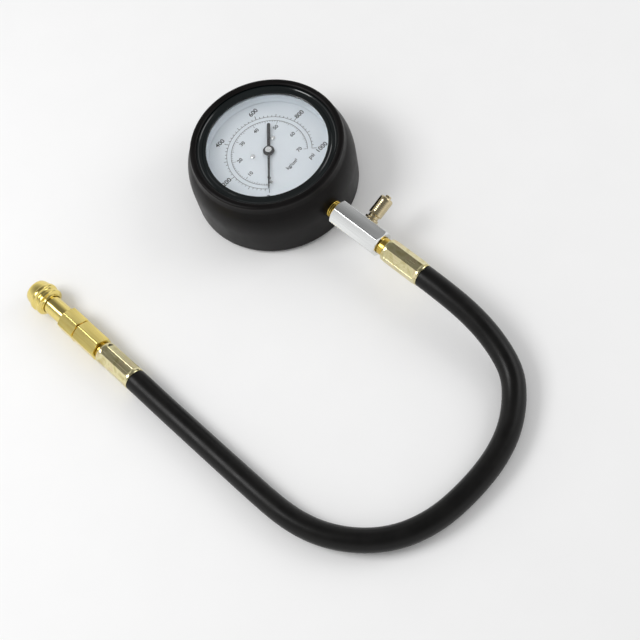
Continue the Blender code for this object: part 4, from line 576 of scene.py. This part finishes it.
def print_band(inner, outer, start, end, steps):
    """A printed stroke: a piece of a ring between two radii and two angles."""
    low = arc((0, 0), inner, start, end, steps)
    high = arc((0, 0), outer, start, end, steps)
    rows = [[bm.verts.new((x, y, INK_TOP)) for x, y in row] for row in (low, high)]
    for a, b, c, d in zip(rows[0], rows[0][1:], rows[1][1:], rows[1]):
        bm.faces.new((a, b, c, d))


def print_ticks(count, root, lengths, width):
    """Ticks across the sweep: a long one at every tenth, a middle one at every fifth, short between."""
    for i in range(count + 1):
        length = lengths[0] if i % 10 == 0 else lengths[1] if i % 5 == 0 else lengths[2]
        angle = ZERO_ANGLE - SWEEP * i / count
        half = math.degrees(width / 2 / root)
        print_band(min(root, root + length), max(root, root + length), angle - half, angle + half, 1)


print_band(OUTER_ARC - LINE_HALF, OUTER_ARC + LINE_HALF, ZERO_ANGLE - SWEEP, ZERO_ANGLE, 180)
print_band(INNER_ARC - LINE_HALF, INNER_ARC + LINE_HALF, ZERO_ANGLE - SWEEP, ZERO_ANGLE, 180)
print_ticks(50, OUTER_ARC, OUTER_TICKS, OUTER_TICK_WIDTH)
print_ticks(70, INNER_ARC, INNER_TICKS, INNER_TICK_WIDTH)


def print_words(text, size, place):
    """Flat lettering, centred on a place of the dial."""
    curve = bpy.data.curves.new("lettering", "FONT")
    curve.body = text
    curve.size = size
    curve.align_x = "CENTER"
    curve.align_y = "CENTER"
    curve.offset = INK_SPREAD * size
    words = bpy.data.objects.new("lettering", curve)
    mesh = bpy.data.meshes.new_from_object(words)
    mesh.transform(Matrix.Translation((*place, INK_TOP)))
    bm.from_mesh(mesh)
    bpy.data.objects.remove(words)


def print_numbers(steps, step, size, reach):
    """Numbers that rise from zero in even steps, spread over the sweep."""
    for i in range(steps + 1):
        angle = math.radians(ZERO_ANGLE - SWEEP * i / steps)
        print_words(str(step * i), size, (reach * math.cos(angle), reach * math.sin(angle)))


print_numbers(5, OUTER_STEP, size=3.9, reach=OUTER_NUMBERS)
print_numbers(7, INNER_STEP, size=3.1, reach=INNER_NUMBERS)
for text, size, place in UNIT_PLACES:
    print_words(text, size, place)
place_piece("dial_print", finished_mesh("dial_print", bm), ink, "gauge_body")


# Pointer. Stamped aluminium, painted black, long thin end and thicker tail, pressed on a bright bush. A
# bright pin in the dial stops it at zero, and two small screws hold the dial to the movement.
def pointer_paint():
    """Matt black paint on aluminium: nearly flat, with a fine spray grain."""
    grain_mm = 0.25
    material, skin, place = new_material("pointer_paint", 0.0, 0.45)
    grain = noise(material, place, grain_mm, 2.0)
    vary(material, skin, grain, "#08090A", "#15181A", 0.38, 0.5)
    return material


def bright_steel():
    """Zinc-plated steel of the pins, screws, springs and balls: cool, bright, with tool rings."""
    return turned_metal("bright_steel", "#B4B6B6", "#D8DADA", 0.14, 0.26)


POINTER_LENGTH = 24.5
POINTER_TAIL = 18.5
POINTER_HUB = 3.2
POINTER_EYE = 1.5
POINTER_BOTTOM = 30.5
POINTER_THICKNESS = 0.5
ROOT_HALF = 0.7
TIP_HALF = 0.35
TAIL_HALF = 0.9
STOP_PIN_PLACE = (-13.354, -14.930)

steel = bright_steel()
hub_edge = math.degrees(math.asin(ROOT_HALF / POINTER_HUB))
tail_edge = math.degrees(math.asin(TAIL_HALF / POINTER_HUB))
outline = [(POINTER_LENGTH, -TIP_HALF), (POINTER_LENGTH, TIP_HALF)]
outline += arc((0, 0), POINTER_HUB, hub_edge, 180 - tail_edge, 24)
outline += arc((TAIL_HALF - POINTER_TAIL, 0), TAIL_HALF, 90, 270, 12)
outline += arc((0, 0), POINTER_HUB, 180 + tail_edge, 360 - hub_edge, 24)
bm = bmesh.new()
face = bm.faces.new([bm.verts.new((x, y, POINTER_BOTTOM)) for x, y in outline])
lifted = bmesh.ops.extrude_face_region(bm, geom=[face])["geom"]
upper = [v for v in lifted if isinstance(v, bmesh.types.BMVert)]
bmesh.ops.translate(bm, vec=(0, 0, POINTER_THICKNESS), verts=upper)
eye = turned_mesh("eye", [(0, 30.0), (POINTER_EYE, 30.0), (POINTER_EYE, 31.5), (0, 31.5)], 48)
blade_mesh = carve(finished_mesh("pointer_blade", bm), [(eye, here)])
paint = pointer_paint()
at_zero = Matrix.Rotation(math.radians(ZERO_ANGLE), 4, "Z")
place_piece("pointer_blade", blade_mesh, paint, "pointer", ["pointer"], at_zero)
profile = [(0.0, 31.9), (0.9, 31.9), (0.9, 29.9), (1.9, 29.9), (1.9, 30.2), (1.2, 30.2), (1.2, 31.3)]
profile += [(1.9, 31.3), (1.9, 31.9), (1.75, 32.1), (1.2, 32.2), (0.75, 32.2), (0.55, 32.0), (0.0, 32.0)]
place_piece("bush", turned_mesh("bush", profile, 64), steel, "pointer", ["pointer_bush"])
pin_line = Matrix.Translation(Vector((*STOP_PIN_PLACE, 0)) * MM)
profile = [(0, 28.2), (0.4, 28.2), (0.4, 29.3), (1.0, 29.3), (1.0, 29.6), (0.4, 29.6), (0.4, 31.1)]
profile += [(0.25, 31.3), (0, 31.3)]
pin_mesh = turned_mesh("zero_pin", profile, 32)
place_piece("zero_pin", pin_mesh, steel, "gauge_body", ["stop_pin"], pin_line)
give(steel, "dial_screw_1", "dial_screw_2", "movement_screw_1", "movement_screw_2", "sector_arbor", "link")
give(steel, "case_screw_1", "case_screw_2")


# Movement. Stamped brass plates, sector and arbors, a phosphor bronze hairspring, and the bronze tube
# with its soldered tip. They sit behind the dial. The tube is soldered into the socket at its root, and
# pressure opens its curve in the real gauge; here the tube is a copy of its solid, unbent, with no body.
def stamped_brass():
    """Sheet brass, stamped and tumbled: warm yellow, softly grained and a little dull."""
    grain_mm = 0.4
    stain_mm = 5.0
    material, skin, place = new_material("stamped_brass", 1.0, 0.3)
    grain = noise(material, place, grain_mm, 3.0)
    stain = noise(material, place, stain_mm, 3.0)
    vary(material, skin, stain, "#B08A42", "#D8B86A", 0.22, 0.36)
    raise_grain(material, skin, grain, 0.3, 0.01)
    return material


def phosphor_bronze():
    """Drawn bronze: reddish, with a dull oxide and darker stains by the solder."""
    stain_mm = 4.0
    material, skin, place = new_material("phosphor_bronze", 1.0, 0.32)
    stain = noise(material, place, stain_mm, 4.0)
    vary(material, skin, stain, "#8A5A34", "#C08A58", 0.24, 0.42)
    return material


movement_brass = stamped_brass()
give(movement_brass, "movement_front_plate", "movement_back_plate", "sector_gear", "pinion_arbor")
give(movement_brass, "movement_pillar_1", "movement_pillar_2", "movement_pillar_3", "stem_socket")
bronze = phosphor_bronze()
give(bronze, "tube_tip", "hairspring")

tube_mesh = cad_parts["bourdon_tube"].data.copy()
tube = place_piece("opening_tube", tube_mesh, bronze, None, ["bourdon_tube"])
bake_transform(tube)


# Window. Clear flat acrylic, clamped by the bezel.
def clear_acrylic():
    """Polished acrylic sheet: clear, sharp reflections, faint wiping marks."""
    wipe_mm = 7.0
    material, skin, place = new_material("clear_acrylic", 0.0, 0.03)
    skin["Base Color"].default_value = from_hex("#FFFFFF")
    skin["Transmission Weight"].default_value = 1.0
    skin["IOR"].default_value = 1.49
    wipe = noise(material, place, wipe_mm, 4.0)
    sheen = add_node(
        material,
        "ShaderNodeMapRange",
        values={"To Min": 0.0, "To Max": 0.05},
        links={"Value": wipe},
    )
    material.node_tree.links.new(sheen.outputs["Result"], skin["Roughness"])
    return material


WINDOW_RADIUS = 39.9
WINDOW_BOTTOM = 34.8
WINDOW_TOP = 37.0

window_profile = [(0, WINDOW_BOTTOM), (WINDOW_RADIUS, WINDOW_BOTTOM)]
window_profile += [(WINDOW_RADIUS, WINDOW_TOP), (0, WINDOW_TOP)]
window_mesh = turned_mesh("window", window_profile, 128)
place_piece("window", window_mesh, clear_acrylic(), "gauge_body", ["lens"])


# Stem neck. The socket's brass thread shows between the boot and the block, as a short threaded neck.
def turned_brass():
    """Turned brass, left as cut: clear yellow with fine tool rings."""
    return turned_metal("turned_brass", "#C09A38", "#E6CC70", 0.14, 0.28)


THREAD_RADIUS = 4.86
THREAD_PITCH = 1.1
NECK_TURNS = 5

brass = turned_brass()
neck_profile = [(4.7, 45.0), (4.88, 45.0)]
for i in range(NECK_TURNS):
    neck_profile += [(5.1, 45.4 + i * THREAD_PITCH), (4.92, 45.9 + i * THREAD_PITCH)]
neck_profile += [(4.88, 50.9), (4.7, 50.9)]
neck_mesh = turned_mesh("stem_neck", neck_profile)
place_piece("stem_neck", neck_mesh, brass, "gauge_body", (), stem_line)


# Valve block. Hexagon bar, drilled and tapped from both ends and from one flat, then plated bright. Its
# label is left off, so the flat is bare.
HEX_EDGE = 0.35


def hexagon_mesh(name, across_flats, start, end, chamfer, turn=0.0):
    """A hexagon bar along Z with turned chamfers. A flat faces the direction of turn, in degrees."""
    corner = across_flats / math.sqrt(3)
    outline = arc((0, 0), corner, turn + 30, turn + 330, 5)
    bm = bmesh.new()
    face = bm.faces.new([bm.verts.new((x, y, start)) for x, y in outline])
    lifted = bmesh.ops.extrude_face_region(bm, geom=[face])["geom"]
    top = [v for v in lifted if isinstance(v, bmesh.types.BMVert)]
    bmesh.ops.translate(bm, vec=(0, 0, end - start), verts=top)
    long_edges = [edge for edge in bm.edges if abs(edge.verts[0].co.z - edge.verts[1].co.z) > 1]
    bmesh.ops.bevel(bm, geom=long_edges, offset=HEX_EDGE, segments=3, affect="EDGES", profile=0.5)
    bar = finished_mesh(name, bm)
    face_radius = 0.48 * across_flats
    beyond = 0.4
    slope = chamfer / (corner - face_radius)
    wide = corner + beyond
    narrow = face_radius - beyond
    profile = [(0, start - beyond * slope), (narrow, start - beyond * slope)]
    profile += [(wide, start + (wide - face_radius) * slope), (wide, end - (wide - face_radius) * slope)]
    profile += [(narrow, end + beyond * slope), (0, end + beyond * slope)]
    return carve(bar, [(turned_mesh("chamfer", profile), here)], "INTERSECT")


BLOCK_HEX = 14.0
BLOCK_START = 51.0
BLOCK_END = 83.5
STEM_TAP = 11.5
TAIL_TAP = 10.0
GAS_BORE = 2.0
BLOCK_FACING = 18.0
RELIEF_TILT = math.radians(72)
RELIEF_STATION = 69.5

relief_line = Matrix.Translation(Vector((0, -RELIEF_STATION, STEM_HEIGHT)) * MM)
relief_line = relief_line @ Matrix.Rotation(RELIEF_TILT, 4, "Y")
bore_profile = [(0, BLOCK_START - 1), (THREAD_HOLE, BLOCK_START - 1)]
bore_profile += [(THREAD_HOLE, BLOCK_START + STEM_TAP), (GAS_BORE, BLOCK_START + STEM_TAP)]
bore_profile += [(GAS_BORE, BLOCK_END - TAIL_TAP), (THREAD_HOLE, BLOCK_END - TAIL_TAP)]
bore_profile += [(THREAD_HOLE, BLOCK_END + 1), (0, BLOCK_END + 1)]
block_bore = turned_mesh("block_bore", bore_profile)
side_bore = turned_mesh("side_bore", [(0, 0.2), (3.2, 0.2), (3.2, 8.0), (0, 8.0)])
bores = [(block_bore, here), (side_bore, stem_line.inverted() @ relief_line)]
block_mesh = carve(hexagon_mesh("block", BLOCK_HEX, BLOCK_START, BLOCK_END, 1.0, BLOCK_FACING), bores)
chrome = drawn_metal("bright_chrome", "#D6D8D8", "#F2F3F2", 0.10, 0.20)
place_piece("block", block_mesh, chrome, "gauge_body", ["valve_block"], stem_line)


# Relief valve. A turned sleeve screwed into the block's side, with a sprung button in its mouth, both
# nickel plated over brass, which warms the colour. The coil in it is a fixed copy of its solid.
def nickel_plate():
    """Nickel over turned brass: warm silver with fine tool rings."""
    return turned_metal("nickel_plate", "#B8A680", "#E2D6B4", 0.12, 0.24)


RELIEF_GROOVES = 7
GROOVE_PITCH = 1.1

nickel = nickel_plate()
profile = [(2.3, 2.6), (2.9, 2.6), (2.9, 7.3), (3.9, 7.3), (4.0, 7.4), (4.0, 8.4), (3.9, 8.5)]
profile += [(3.1, 8.8), (3.1, 10.2)]
profile += [(3.9, 10.7), (4.0, 10.8)]
for i in range(RELIEF_GROOVES):
    groove = 12.0 + i * GROOVE_PITCH
    profile += [(4.0, groove), (3.93, groove + 0.25), (4.0, groove + 0.5)]
profile += bow((4.0, 20.4), (4.0, 22.0), (2.3, 22.0), 8)
profile += [(2.0, 21.7), (2.0, 20.3), (2.5, 20.3), (2.5, 5.8), (1.2, 5.8), (1.2, 4.6), (2.3, 4.6)]
valve_mesh = turned_mesh("relief_body", profile)
place_piece("relief_body", valve_mesh, nickel, "gauge_body", ["relief_sleeve"], relief_line)
profile = [(0, 2.2), (1.4, 2.2), (1.4, 2.7), (0.6, 2.7), (0.6, 17.6), (2.2, 17.6), (2.2, 20.0), (1.7, 20.0)]
profile += bow((1.7, 22.8), (1.7, 23.4), (0.9, 23.4), 8)
profile += [(0, 23.4)]
knob_mesh = turned_mesh("relief_knob", profile, 64)
place_piece("relief_knob", knob_mesh, nickel, "relief_button", ["relief_button"], relief_line)


def coil(name, node):
    """A compression spring in its solid's place: a copy of the solid's mesh, fixed to the gauge's body."""
    piece = place_piece(name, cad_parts[node].data.copy(), steel, "gauge_body", [node])
    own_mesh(piece)
    return piece


coil("relief_coil", "relief_spring")


# Hose tails. Turned brass with a thread into the block or the adapter, a collar, and barbs in the hose.
TAIL_BORE = 1.5
TAIL_RADIUS = 3.2
BARB_RADIUS = 3.6
BARB_STEP = 5.0
BARBS = 3


def tail_mesh(name, seat, way, collar):
    """A tail along Z: its collar's face is at seat, and way is 1 where the barbs run up from it."""
    shape = [(TAIL_BORE, -(collar + 9.8)), (4.3, -(collar + 9.8))]
    shape += [(THREAD_RADIUS, -(collar + 9.2)), (THREAD_RADIUS, -collar)]
    shape += [(4.9, -collar), (5.0, 0.1 - collar), (5.0, -0.2), (4.8, 0), (TAIL_RADIUS, 0)]
    for i in range(BARBS):
        at = 3.5 + i * BARB_STEP
        shape += [(TAIL_RADIUS, at), (BARB_RADIUS, at), (TAIL_RADIUS, at + 3.0)]
    shape += [(TAIL_RADIUS, 22.0), (2.7, 22.5), (TAIL_BORE, 22.5)]
    return turned_mesh(name, [(radius, seat + way * at) for radius, at in shape])


coupler_line = Matrix.Translation(Vector((COUPLER_X, 0, COUPLER_Z)) * MM)
coupler_line = coupler_line @ Matrix.Rotation(-math.pi / 2, 4, "X")
near_tail = tail_mesh("tail_at_block", 87.3, 1, 3.5)
place_piece("tail_at_block", near_tail, brass, "gauge_body", ["hose_tail_gauge"], stem_line)
far_tail = tail_mesh("tail_at_coupler", -7.1, -1, 1.4)
far_tail = place_piece(
    "tail_at_coupler", far_tail, brass, "gauge_body", ["hose_tail_coupler"], coupler_line
)


# Ferrules. Steel cups pushed over the hose's ends and crimped by eight dies, with yellow zinc plating.
# Where two dies meet they leave a thin fin.
def yellow_zinc():
    """Yellow-passivated zinc on steel: pale brassy yellow that drifts to green and rose in thin clouds."""
    cloud_mm = 6.0
    material, skin, place = new_material("yellow_zinc", 1.0, 0.2)
    cloud = noise(material, place, cloud_mm, 2.0, Distortion=0.8)
    streaks = lengthwise_lines(material, place, 0.7, 25.0)
    drift = add_node(material, "ShaderNodeValToRGB", links={"Fac": cloud})
    ramp = drift.color_ramp
    ramp.elements[0].position = 0.30
    ramp.elements[0].color = from_hex("#CABC88")
    ramp.elements[1].position = 0.72
    ramp.elements[1].color = from_hex("#DCC8A2")
    ramp.elements.new(0.5).color = from_hex("#E4DCAE")
    material.node_tree.links.new(drift.outputs["Color"], skin["Base Color"])
    vary_sheen(material, skin, streaks, 0.14, 0.28)
    raise_grain(material, skin, streaks, BAR_GRAIN, 0.008)
    return material


FERRULE_RADIUS = 6.5
FERRULE_BORE = 3.5
FERRULE_SKIRT = 4.9
FERRULE_WALL = 2.5
# The dies press the skirt in by the crimp, over its length from where they start to where they stop.
CRIMP = 0.4
CRIMP_DIES = 8
CRIMP_FIN = 0.15
CRIMP_STARTS = 1.2
CRIMP_STOPS = 22.6
EASE_STEPS = 8
EASE_STEP = 0.2
DIE_FACETS = 24


def ferrule_mesh(name, start, way):
    """A ferrule along Z. start is its end wall, and way is 1 where the skirt runs up from it."""
    stations = [(FERRULE_BORE, 0, 0.0), (5.8, 0, 0.0), (6.2, 0, 0.12), (6.42, 0, 0.45)]
    stations += [(FERRULE_RADIUS, 0, 1.0)]
    shares = [i / EASE_STEPS for i in range(EASE_STEPS + 1)]
    eases = [share**2 * (3 - 2 * share) for share in shares]
    for i, ease in enumerate(eases):
        stations.append((FERRULE_RADIUS, CRIMP * ease, CRIMP_STARTS + EASE_STEP * i))
    for i, ease in enumerate(eases):
        stations.append((FERRULE_RADIUS, CRIMP * (1 - ease), CRIMP_STOPS + EASE_STEP * i))
    stations += [(6.42, 0, FERRULE_LENGTH - 0.5), (6.2, 0, FERRULE_LENGTH - 0.12), (5.8, 0, FERRULE_LENGTH)]
    stations += [(FERRULE_SKIRT + 0.4, 0, FERRULE_LENGTH), (FERRULE_SKIRT, 0, FERRULE_LENGTH - 0.4)]
    stations += [(FERRULE_SKIRT, 0, FERRULE_WALL), (FERRULE_BORE, 0, FERRULE_WALL)]
    around = DIE_FACETS * CRIMP_DIES
    bm = bmesh.new()
    rings = []
    for radius, crimp, station in stations:
        ring = []
        for i in range(around):
            off_flat = math.pi / CRIMP_DIES * (1 - abs(2 * ((i / DIE_FACETS) % 1) - 1))
            pressed = min(radius, (radius - crimp) / math.cos(off_flat)) if crimp else radius
            if i % DIE_FACETS == DIE_FACETS // 2:
                pressed += CRIMP_FIN * crimp / CRIMP
            angle = 2 * math.pi * i / around
            height = start + way * station
            ring.append(bm.verts.new((pressed * math.cos(angle), pressed * math.sin(angle), height)))
        rings.append(ring)
    for low, high in zip(rings, rings[1:] + rings[:1]):
        for i in range(around):
            bm.faces.new((low[i], low[(i + 1) % around], high[(i + 1) % around], high[i]))
    return finished_mesh(name, bm, 40)


zinc = yellow_zinc()
near_mesh = ferrule_mesh("crimp_at_block", -FERRULE_STARTS[0], 1)
place_piece("crimp_at_block", near_mesh, zinc, "gauge_body", ["ferrule_gauge"], stem_line)
far_mesh = ferrule_mesh("crimp_at_coupler", FERRULE_STARTS[1] + FERRULE_LENGTH, -1)
far_crimp = place_piece(
    "crimp_at_coupler", far_mesh, zinc, "gauge_body", ["ferrule_coupler"], coupler_line
)


# Coupler. Two hexagons of drawn brass screwed together, polished, with a turned barrel and nose that
# carry the sliding sleeve, a snap ring and four steel lock balls.
# Ends and stations run along the coupler's line. The balls' centres lie on a ring of their own.
ADAPTER_HEX = 12.8
ADAPTER_ENDS = (-5.4, 11.6)
SHELL_HEX = 13.2
SHELL_ENDS = (11.9, 23.9)
HEX_CHAMFER = 0.6
BARREL_RADIUS = 5.4
NOSE_RADIUS = 4.9
NOSE_END = 52.6
SOCKET_RADIUS = 3.3
BALL_COUNT = 4
BALL_STATION = 46.9
BALL_RADIUS = 1.2
BALL_RING = 3.9

hex_brass = drawn_metal("polished_hex_brass", "#DCC064", "#F6E89A", 0.10, 0.20)
lathe_brass = turned_metal("polished_turned_brass", "#DCC064", "#F6E89A", 0.10, 0.20)
thread = turned_mesh("thread", [(0, 10.5), (THREAD_RADIUS, 10.5), (THREAD_RADIUS, 22.0), (0, 22.0)])
bore_profile = [(0, -7.0), (THREAD_HOLE, -7.0), (THREAD_HOLE, 5.0), (1.6, 5.0), (1.6, 24.0), (0, 24.0)]
adapter_mesh = hexagon_mesh("adapter", ADAPTER_HEX, *ADAPTER_ENDS, HEX_CHAMFER)
adapter_mesh = carve(adapter_mesh, [(thread, here)], "UNION")
adapter_mesh = carve(adapter_mesh, [(turned_mesh("adapter_bore", bore_profile), here)])
adapter = place_piece(
    "adapter", adapter_mesh, hex_brass, "gauge_body", ["coupler_adapter"], coupler_line
)
barrel_profile = [(0, 22.0), (BARREL_RADIUS, 22.0), (BARREL_RADIUS, 39.2), (NOSE_RADIUS, 39.2)]
barrel_profile += [(NOSE_RADIUS, 48.6), (4.4, 48.6), (4.4, 49.9), (NOSE_RADIUS, 49.9)]
barrel_profile += [(NOSE_RADIUS, NOSE_END - 0.4), (NOSE_RADIUS - 0.4, NOSE_END), (0, NOSE_END)]
bore_profile = [(0, 11.0), (THREAD_HOLE, 11.0), (THREAD_HOLE, 22.3), (3.9, 22.3), (3.9, 39.7), (2.2, 39.7)]
bore_profile += [(2.2, 41.3), (4.1, 41.3), (4.1, 43.4), (SOCKET_RADIUS, 43.4)]
bore_profile += [(SOCKET_RADIUS, NOSE_END - 0.2), (SOCKET_RADIUS + 0.2, NOSE_END)]
bore_profile += [(SOCKET_RADIUS + 0.2, NOSE_END + 1), (0, NOSE_END + 1)]
hole_profile = [(0, 2.1), (1.14, 2.1), (1.14, 3.3), (1.44, 3.9), (1.44, 5.4), (0, 5.4)]
ball_hole = turned_mesh("ball_hole", hole_profile, 32)
ball_station = Matrix.Translation((0, 0, BALL_STATION * MM))
outward = Matrix.Rotation(math.pi / 2, 4, "Y")
ball_turns = [Matrix.Rotation(2 * math.pi * i / BALL_COUNT, 4, "Z") for i in range(BALL_COUNT)]
ball_lines = [ball_station @ turn @ outward for turn in ball_turns]
shell_mesh = hexagon_mesh("coupler_shell", SHELL_HEX, *SHELL_ENDS, HEX_CHAMFER)
shell_mesh = carve(shell_mesh, [(turned_mesh("barrel", barrel_profile), here)], "UNION")
holes = [(turned_mesh("bore", bore_profile), here)] + [(ball_hole, line) for line in ball_lines]
shell_mesh = carve(shell_mesh, holes)
shell = place_piece(
    "coupler_shell", shell_mesh, hex_brass, "gauge_body", ["coupler_body"], coupler_line
)


profile = [(5.7, 37.6), (6.3, 37.6), (6.4, 37.7), (6.4, 38.6), (6.9, 38.9), (7.7, 39.2)]
profile += arc((7.7, 39.7), 0.5, -60, 0, 4)
profile += arc((7.7, 40.7), 0.5, 0, 75, 4)
profile += bow((7.5, 41.4), (7.1, 41.7), (7.15, 42.3), 4)
profile += bow((7.15, 42.3), (7.1, 42.8), (7.7, 43.2), 4)[1:]
profile += arc((7.95, 44.05), 0.65, -60, 0, 4)
profile += arc((7.95, 45.15), 0.65, 0, 70, 4)
profile += bow((7.9, 45.9), (7.5, 50.0), (6.7, 51.2), 12)
profile += [(6.0, 51.2), (6.0, 48.6), (5.2, 48.6), (5.2, 44.6), (5.7, 44.6)]
sleeve_mesh = turned_mesh("sliding_sleeve", profile, 128)
grip = place_piece(
    "sliding_sleeve", sleeve_mesh, lathe_brass, "sleeve", ["coupler_sleeve"], coupler_line
)
give(brass, "check_poppet")
sleeve_coil = coil("sleeve_coil", "sleeve_spring")
check_coil = coil("check_coil", "check_spring")


# Snap ring and lock balls. A spring-steel ring in its groove, open by twice the gap's degrees, and four
# bright bearing balls.
CLIP_GAP = 15
CLIP_STEP = 5

bm = bmesh.new()
ring_section = ((4.5, 48.9), (5.7, 48.9), (5.7, 49.6), (4.5, 49.6))
sections = []
for degrees in range(CLIP_GAP, 361 - CLIP_GAP, CLIP_STEP):
    angle = math.radians(degrees)
    sections.append([bm.verts.new((r * math.cos(angle), r * math.sin(angle), z)) for r, z in ring_section])
for low, high in zip(sections, sections[1:]):
    for i in range(4):
        bm.faces.new((low[i], low[(i + 1) % 4], high[(i + 1) % 4], high[i]))
bm.faces.new(sections[0])
bm.faces.new(sections[-1])
clip_mesh = finished_mesh("spring_clip", bm)
clip = place_piece("spring_clip", clip_mesh, steel, "gauge_body", ["snap_ring"], coupler_line)
ball_profile = [(0, BALL_RING - BALL_RADIUS)]
ball_profile += arc((0, BALL_RING), BALL_RADIUS, -80, 80, 16)
ball_profile += [(0, BALL_RING + BALL_RADIUS)]
ball_mesh = turned_mesh("ball", ball_profile, 32)
balls = []
for i, line in enumerate(ball_lines):
    name = f"ball_{i + 1}"
    nodes = [f"lock_ball_{i + 1}"]
    ball = place_piece(name, ball_mesh.copy(), steel, "gauge_body", nodes, coupler_line @ line)
    balls.append(ball)

far_pieces = [far_crimp, far_tail, adapter, shell, grip, sleeve_coil, check_coil, clip, *balls]
far_pieces += [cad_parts["check_poppet"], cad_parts["coupler_seal"]]


# Floor and light. A pale seamless board under two soft lamps. The surround is white at the horizon, and
# gloss sees it fall off to a dimmer ceiling, which gives bright metal its dark and light bands.
def studio_board():
    """Pale matt board that keeps the shadow near the part. Far away the eye sees it run into the white."""
    fleck_mm = 30.0
    white_from = 0.35
    white_at = 1.1
    material, board, place = new_material("studio_board", 0.0, 0.9)
    fleck = noise(material, place, fleck_mm, 2.0)
    vary(material, board, fleck, "#F3F3F3", "#F6F6F6", 0.88, 0.92)
    board["Specular IOR Level"].default_value = 0.1
    rays = add_node(material, "ShaderNodeLightPath").outputs
    seen = add_node(
        material,
        "ShaderNodeMath",
        settings={"operation": "MAXIMUM"},
        links={0: rays["Is Camera Ray"], 1: rays["Is Transmission Ray"]},
    )
    seen = add_node(
        material,
        "ShaderNodeMath",
        settings={"operation": "MAXIMUM"},
        links={0: seen.outputs[0], 1: rays["Is Glossy Ray"]},
    )
    reach = add_node(material, "ShaderNodeVectorMath", settings={"operation": "LENGTH"}, links={0: place})
    far = add_node(
        material,
        "ShaderNodeMapRange",
        settings={"interpolation_type": "SMOOTHSTEP"},
        values={"From Min": white_from, "From Max": white_at},
        links={"Value": reach.outputs["Value"]},
    )
    share = add_node(
        material,
        "ShaderNodeMath",
        settings={"operation": "MULTIPLY"},
        links={0: far.outputs["Result"], 1: seen.outputs[0]},
    )
    paper_white = add_node(material, "ShaderNodeEmission", values={"Strength": 1.0})
    nodes = material.node_tree.nodes
    near = nodes["Principled BSDF"].outputs[0]
    blend = add_node(
        material,
        "ShaderNodeMixShader",
        links={0: share.outputs[0], 1: near, 2: paper_white.outputs[0]},
    )
    material.node_tree.links.new(blend.outputs[0], nodes["Material Output"].inputs["Surface"])
    return material


FLOOR_REACH = 3.0
FLOOR_DROP = 0.0002
floor_corners = [(-FLOOR_REACH, -FLOOR_REACH, 0), (FLOOR_REACH, -FLOOR_REACH, 0)]
floor_corners += [(FLOOR_REACH, FLOOR_REACH, 0), (-FLOOR_REACH, FLOOR_REACH, 0)]
floor_mesh = bpy.data.meshes.new("floor")
floor_mesh.from_pydata(floor_corners, [], [(0, 1, 2, 3)])
floor_mesh.materials.append(studio_board())
floor = bpy.data.objects.new("floor", floor_mesh)
floor.location = (0, 0, -FLOOR_DROP)
bpy.context.scene.collection.objects.link(floor)


def soft_lamp(name, place, target, width, height, watts):
    """A rectangular softbox."""
    light = bpy.data.lights.new(name, "AREA")
    light.shape = "RECTANGLE"
    light.size = width
    light.size_y = height
    light.energy = watts
    lamp = bpy.data.objects.new(name, light)
    lamp.location = place
    lamp.rotation_euler = (Vector(target) - Vector(place)).to_track_quat("-Z", "Y").to_euler()
    bpy.context.scene.collection.objects.link(lamp)


object_middle = (-0.06, -0.08, 0.0)
soft_lamp("key_lamp", (-0.55, 0.35, 0.80), object_middle, width=0.5, height=0.4, watts=4.6)
soft_lamp("fill_lamp", (0.70, -0.45, 0.60), object_middle, width=0.5, height=0.5, watts=1.8)

DIFFUSE_SKY = 0.60
GLOSS_CEILING = 0.2

world = bpy.data.worlds.new("studio")
bpy.context.scene.world = world
world.use_nodes = True
sky = world.node_tree.nodes["Background"].inputs
sky["Color"].default_value = (1.0, 1.0, 1.0, 1.0)
rays = add_node(world, "ShaderNodeLightPath").outputs
direction = add_node(world, "ShaderNodeTexCoord").outputs["Generated"]
height = add_node(world, "ShaderNodeSeparateXYZ", links={0: direction}).outputs["Z"]
ceiling = add_node(
    world,
    "ShaderNodeMapRange",
    values={"From Min": 0.15, "From Max": 0.75, "To Min": 1.0, "To Max": GLOSS_CEILING},
    links={"Value": height},
)
in_gloss = add_node(
    world,
    "ShaderNodeMix",
    values={2: DIFFUSE_SKY},
    links={0: rays["Is Glossy Ray"], 3: ceiling.outputs["Result"]},
)
seen = add_node(
    world,
    "ShaderNodeMath",
    settings={"operation": "MAXIMUM"},
    links={0: rays["Is Camera Ray"], 1: rays["Is Transmission Ray"]},
)
level = add_node(world, "ShaderNodeMix", values={3: 1.0}, links={0: seen.outputs[0], 2: in_gloss.outputs[0]})
world.node_tree.links.new(level.outputs[0], sky["Strength"])
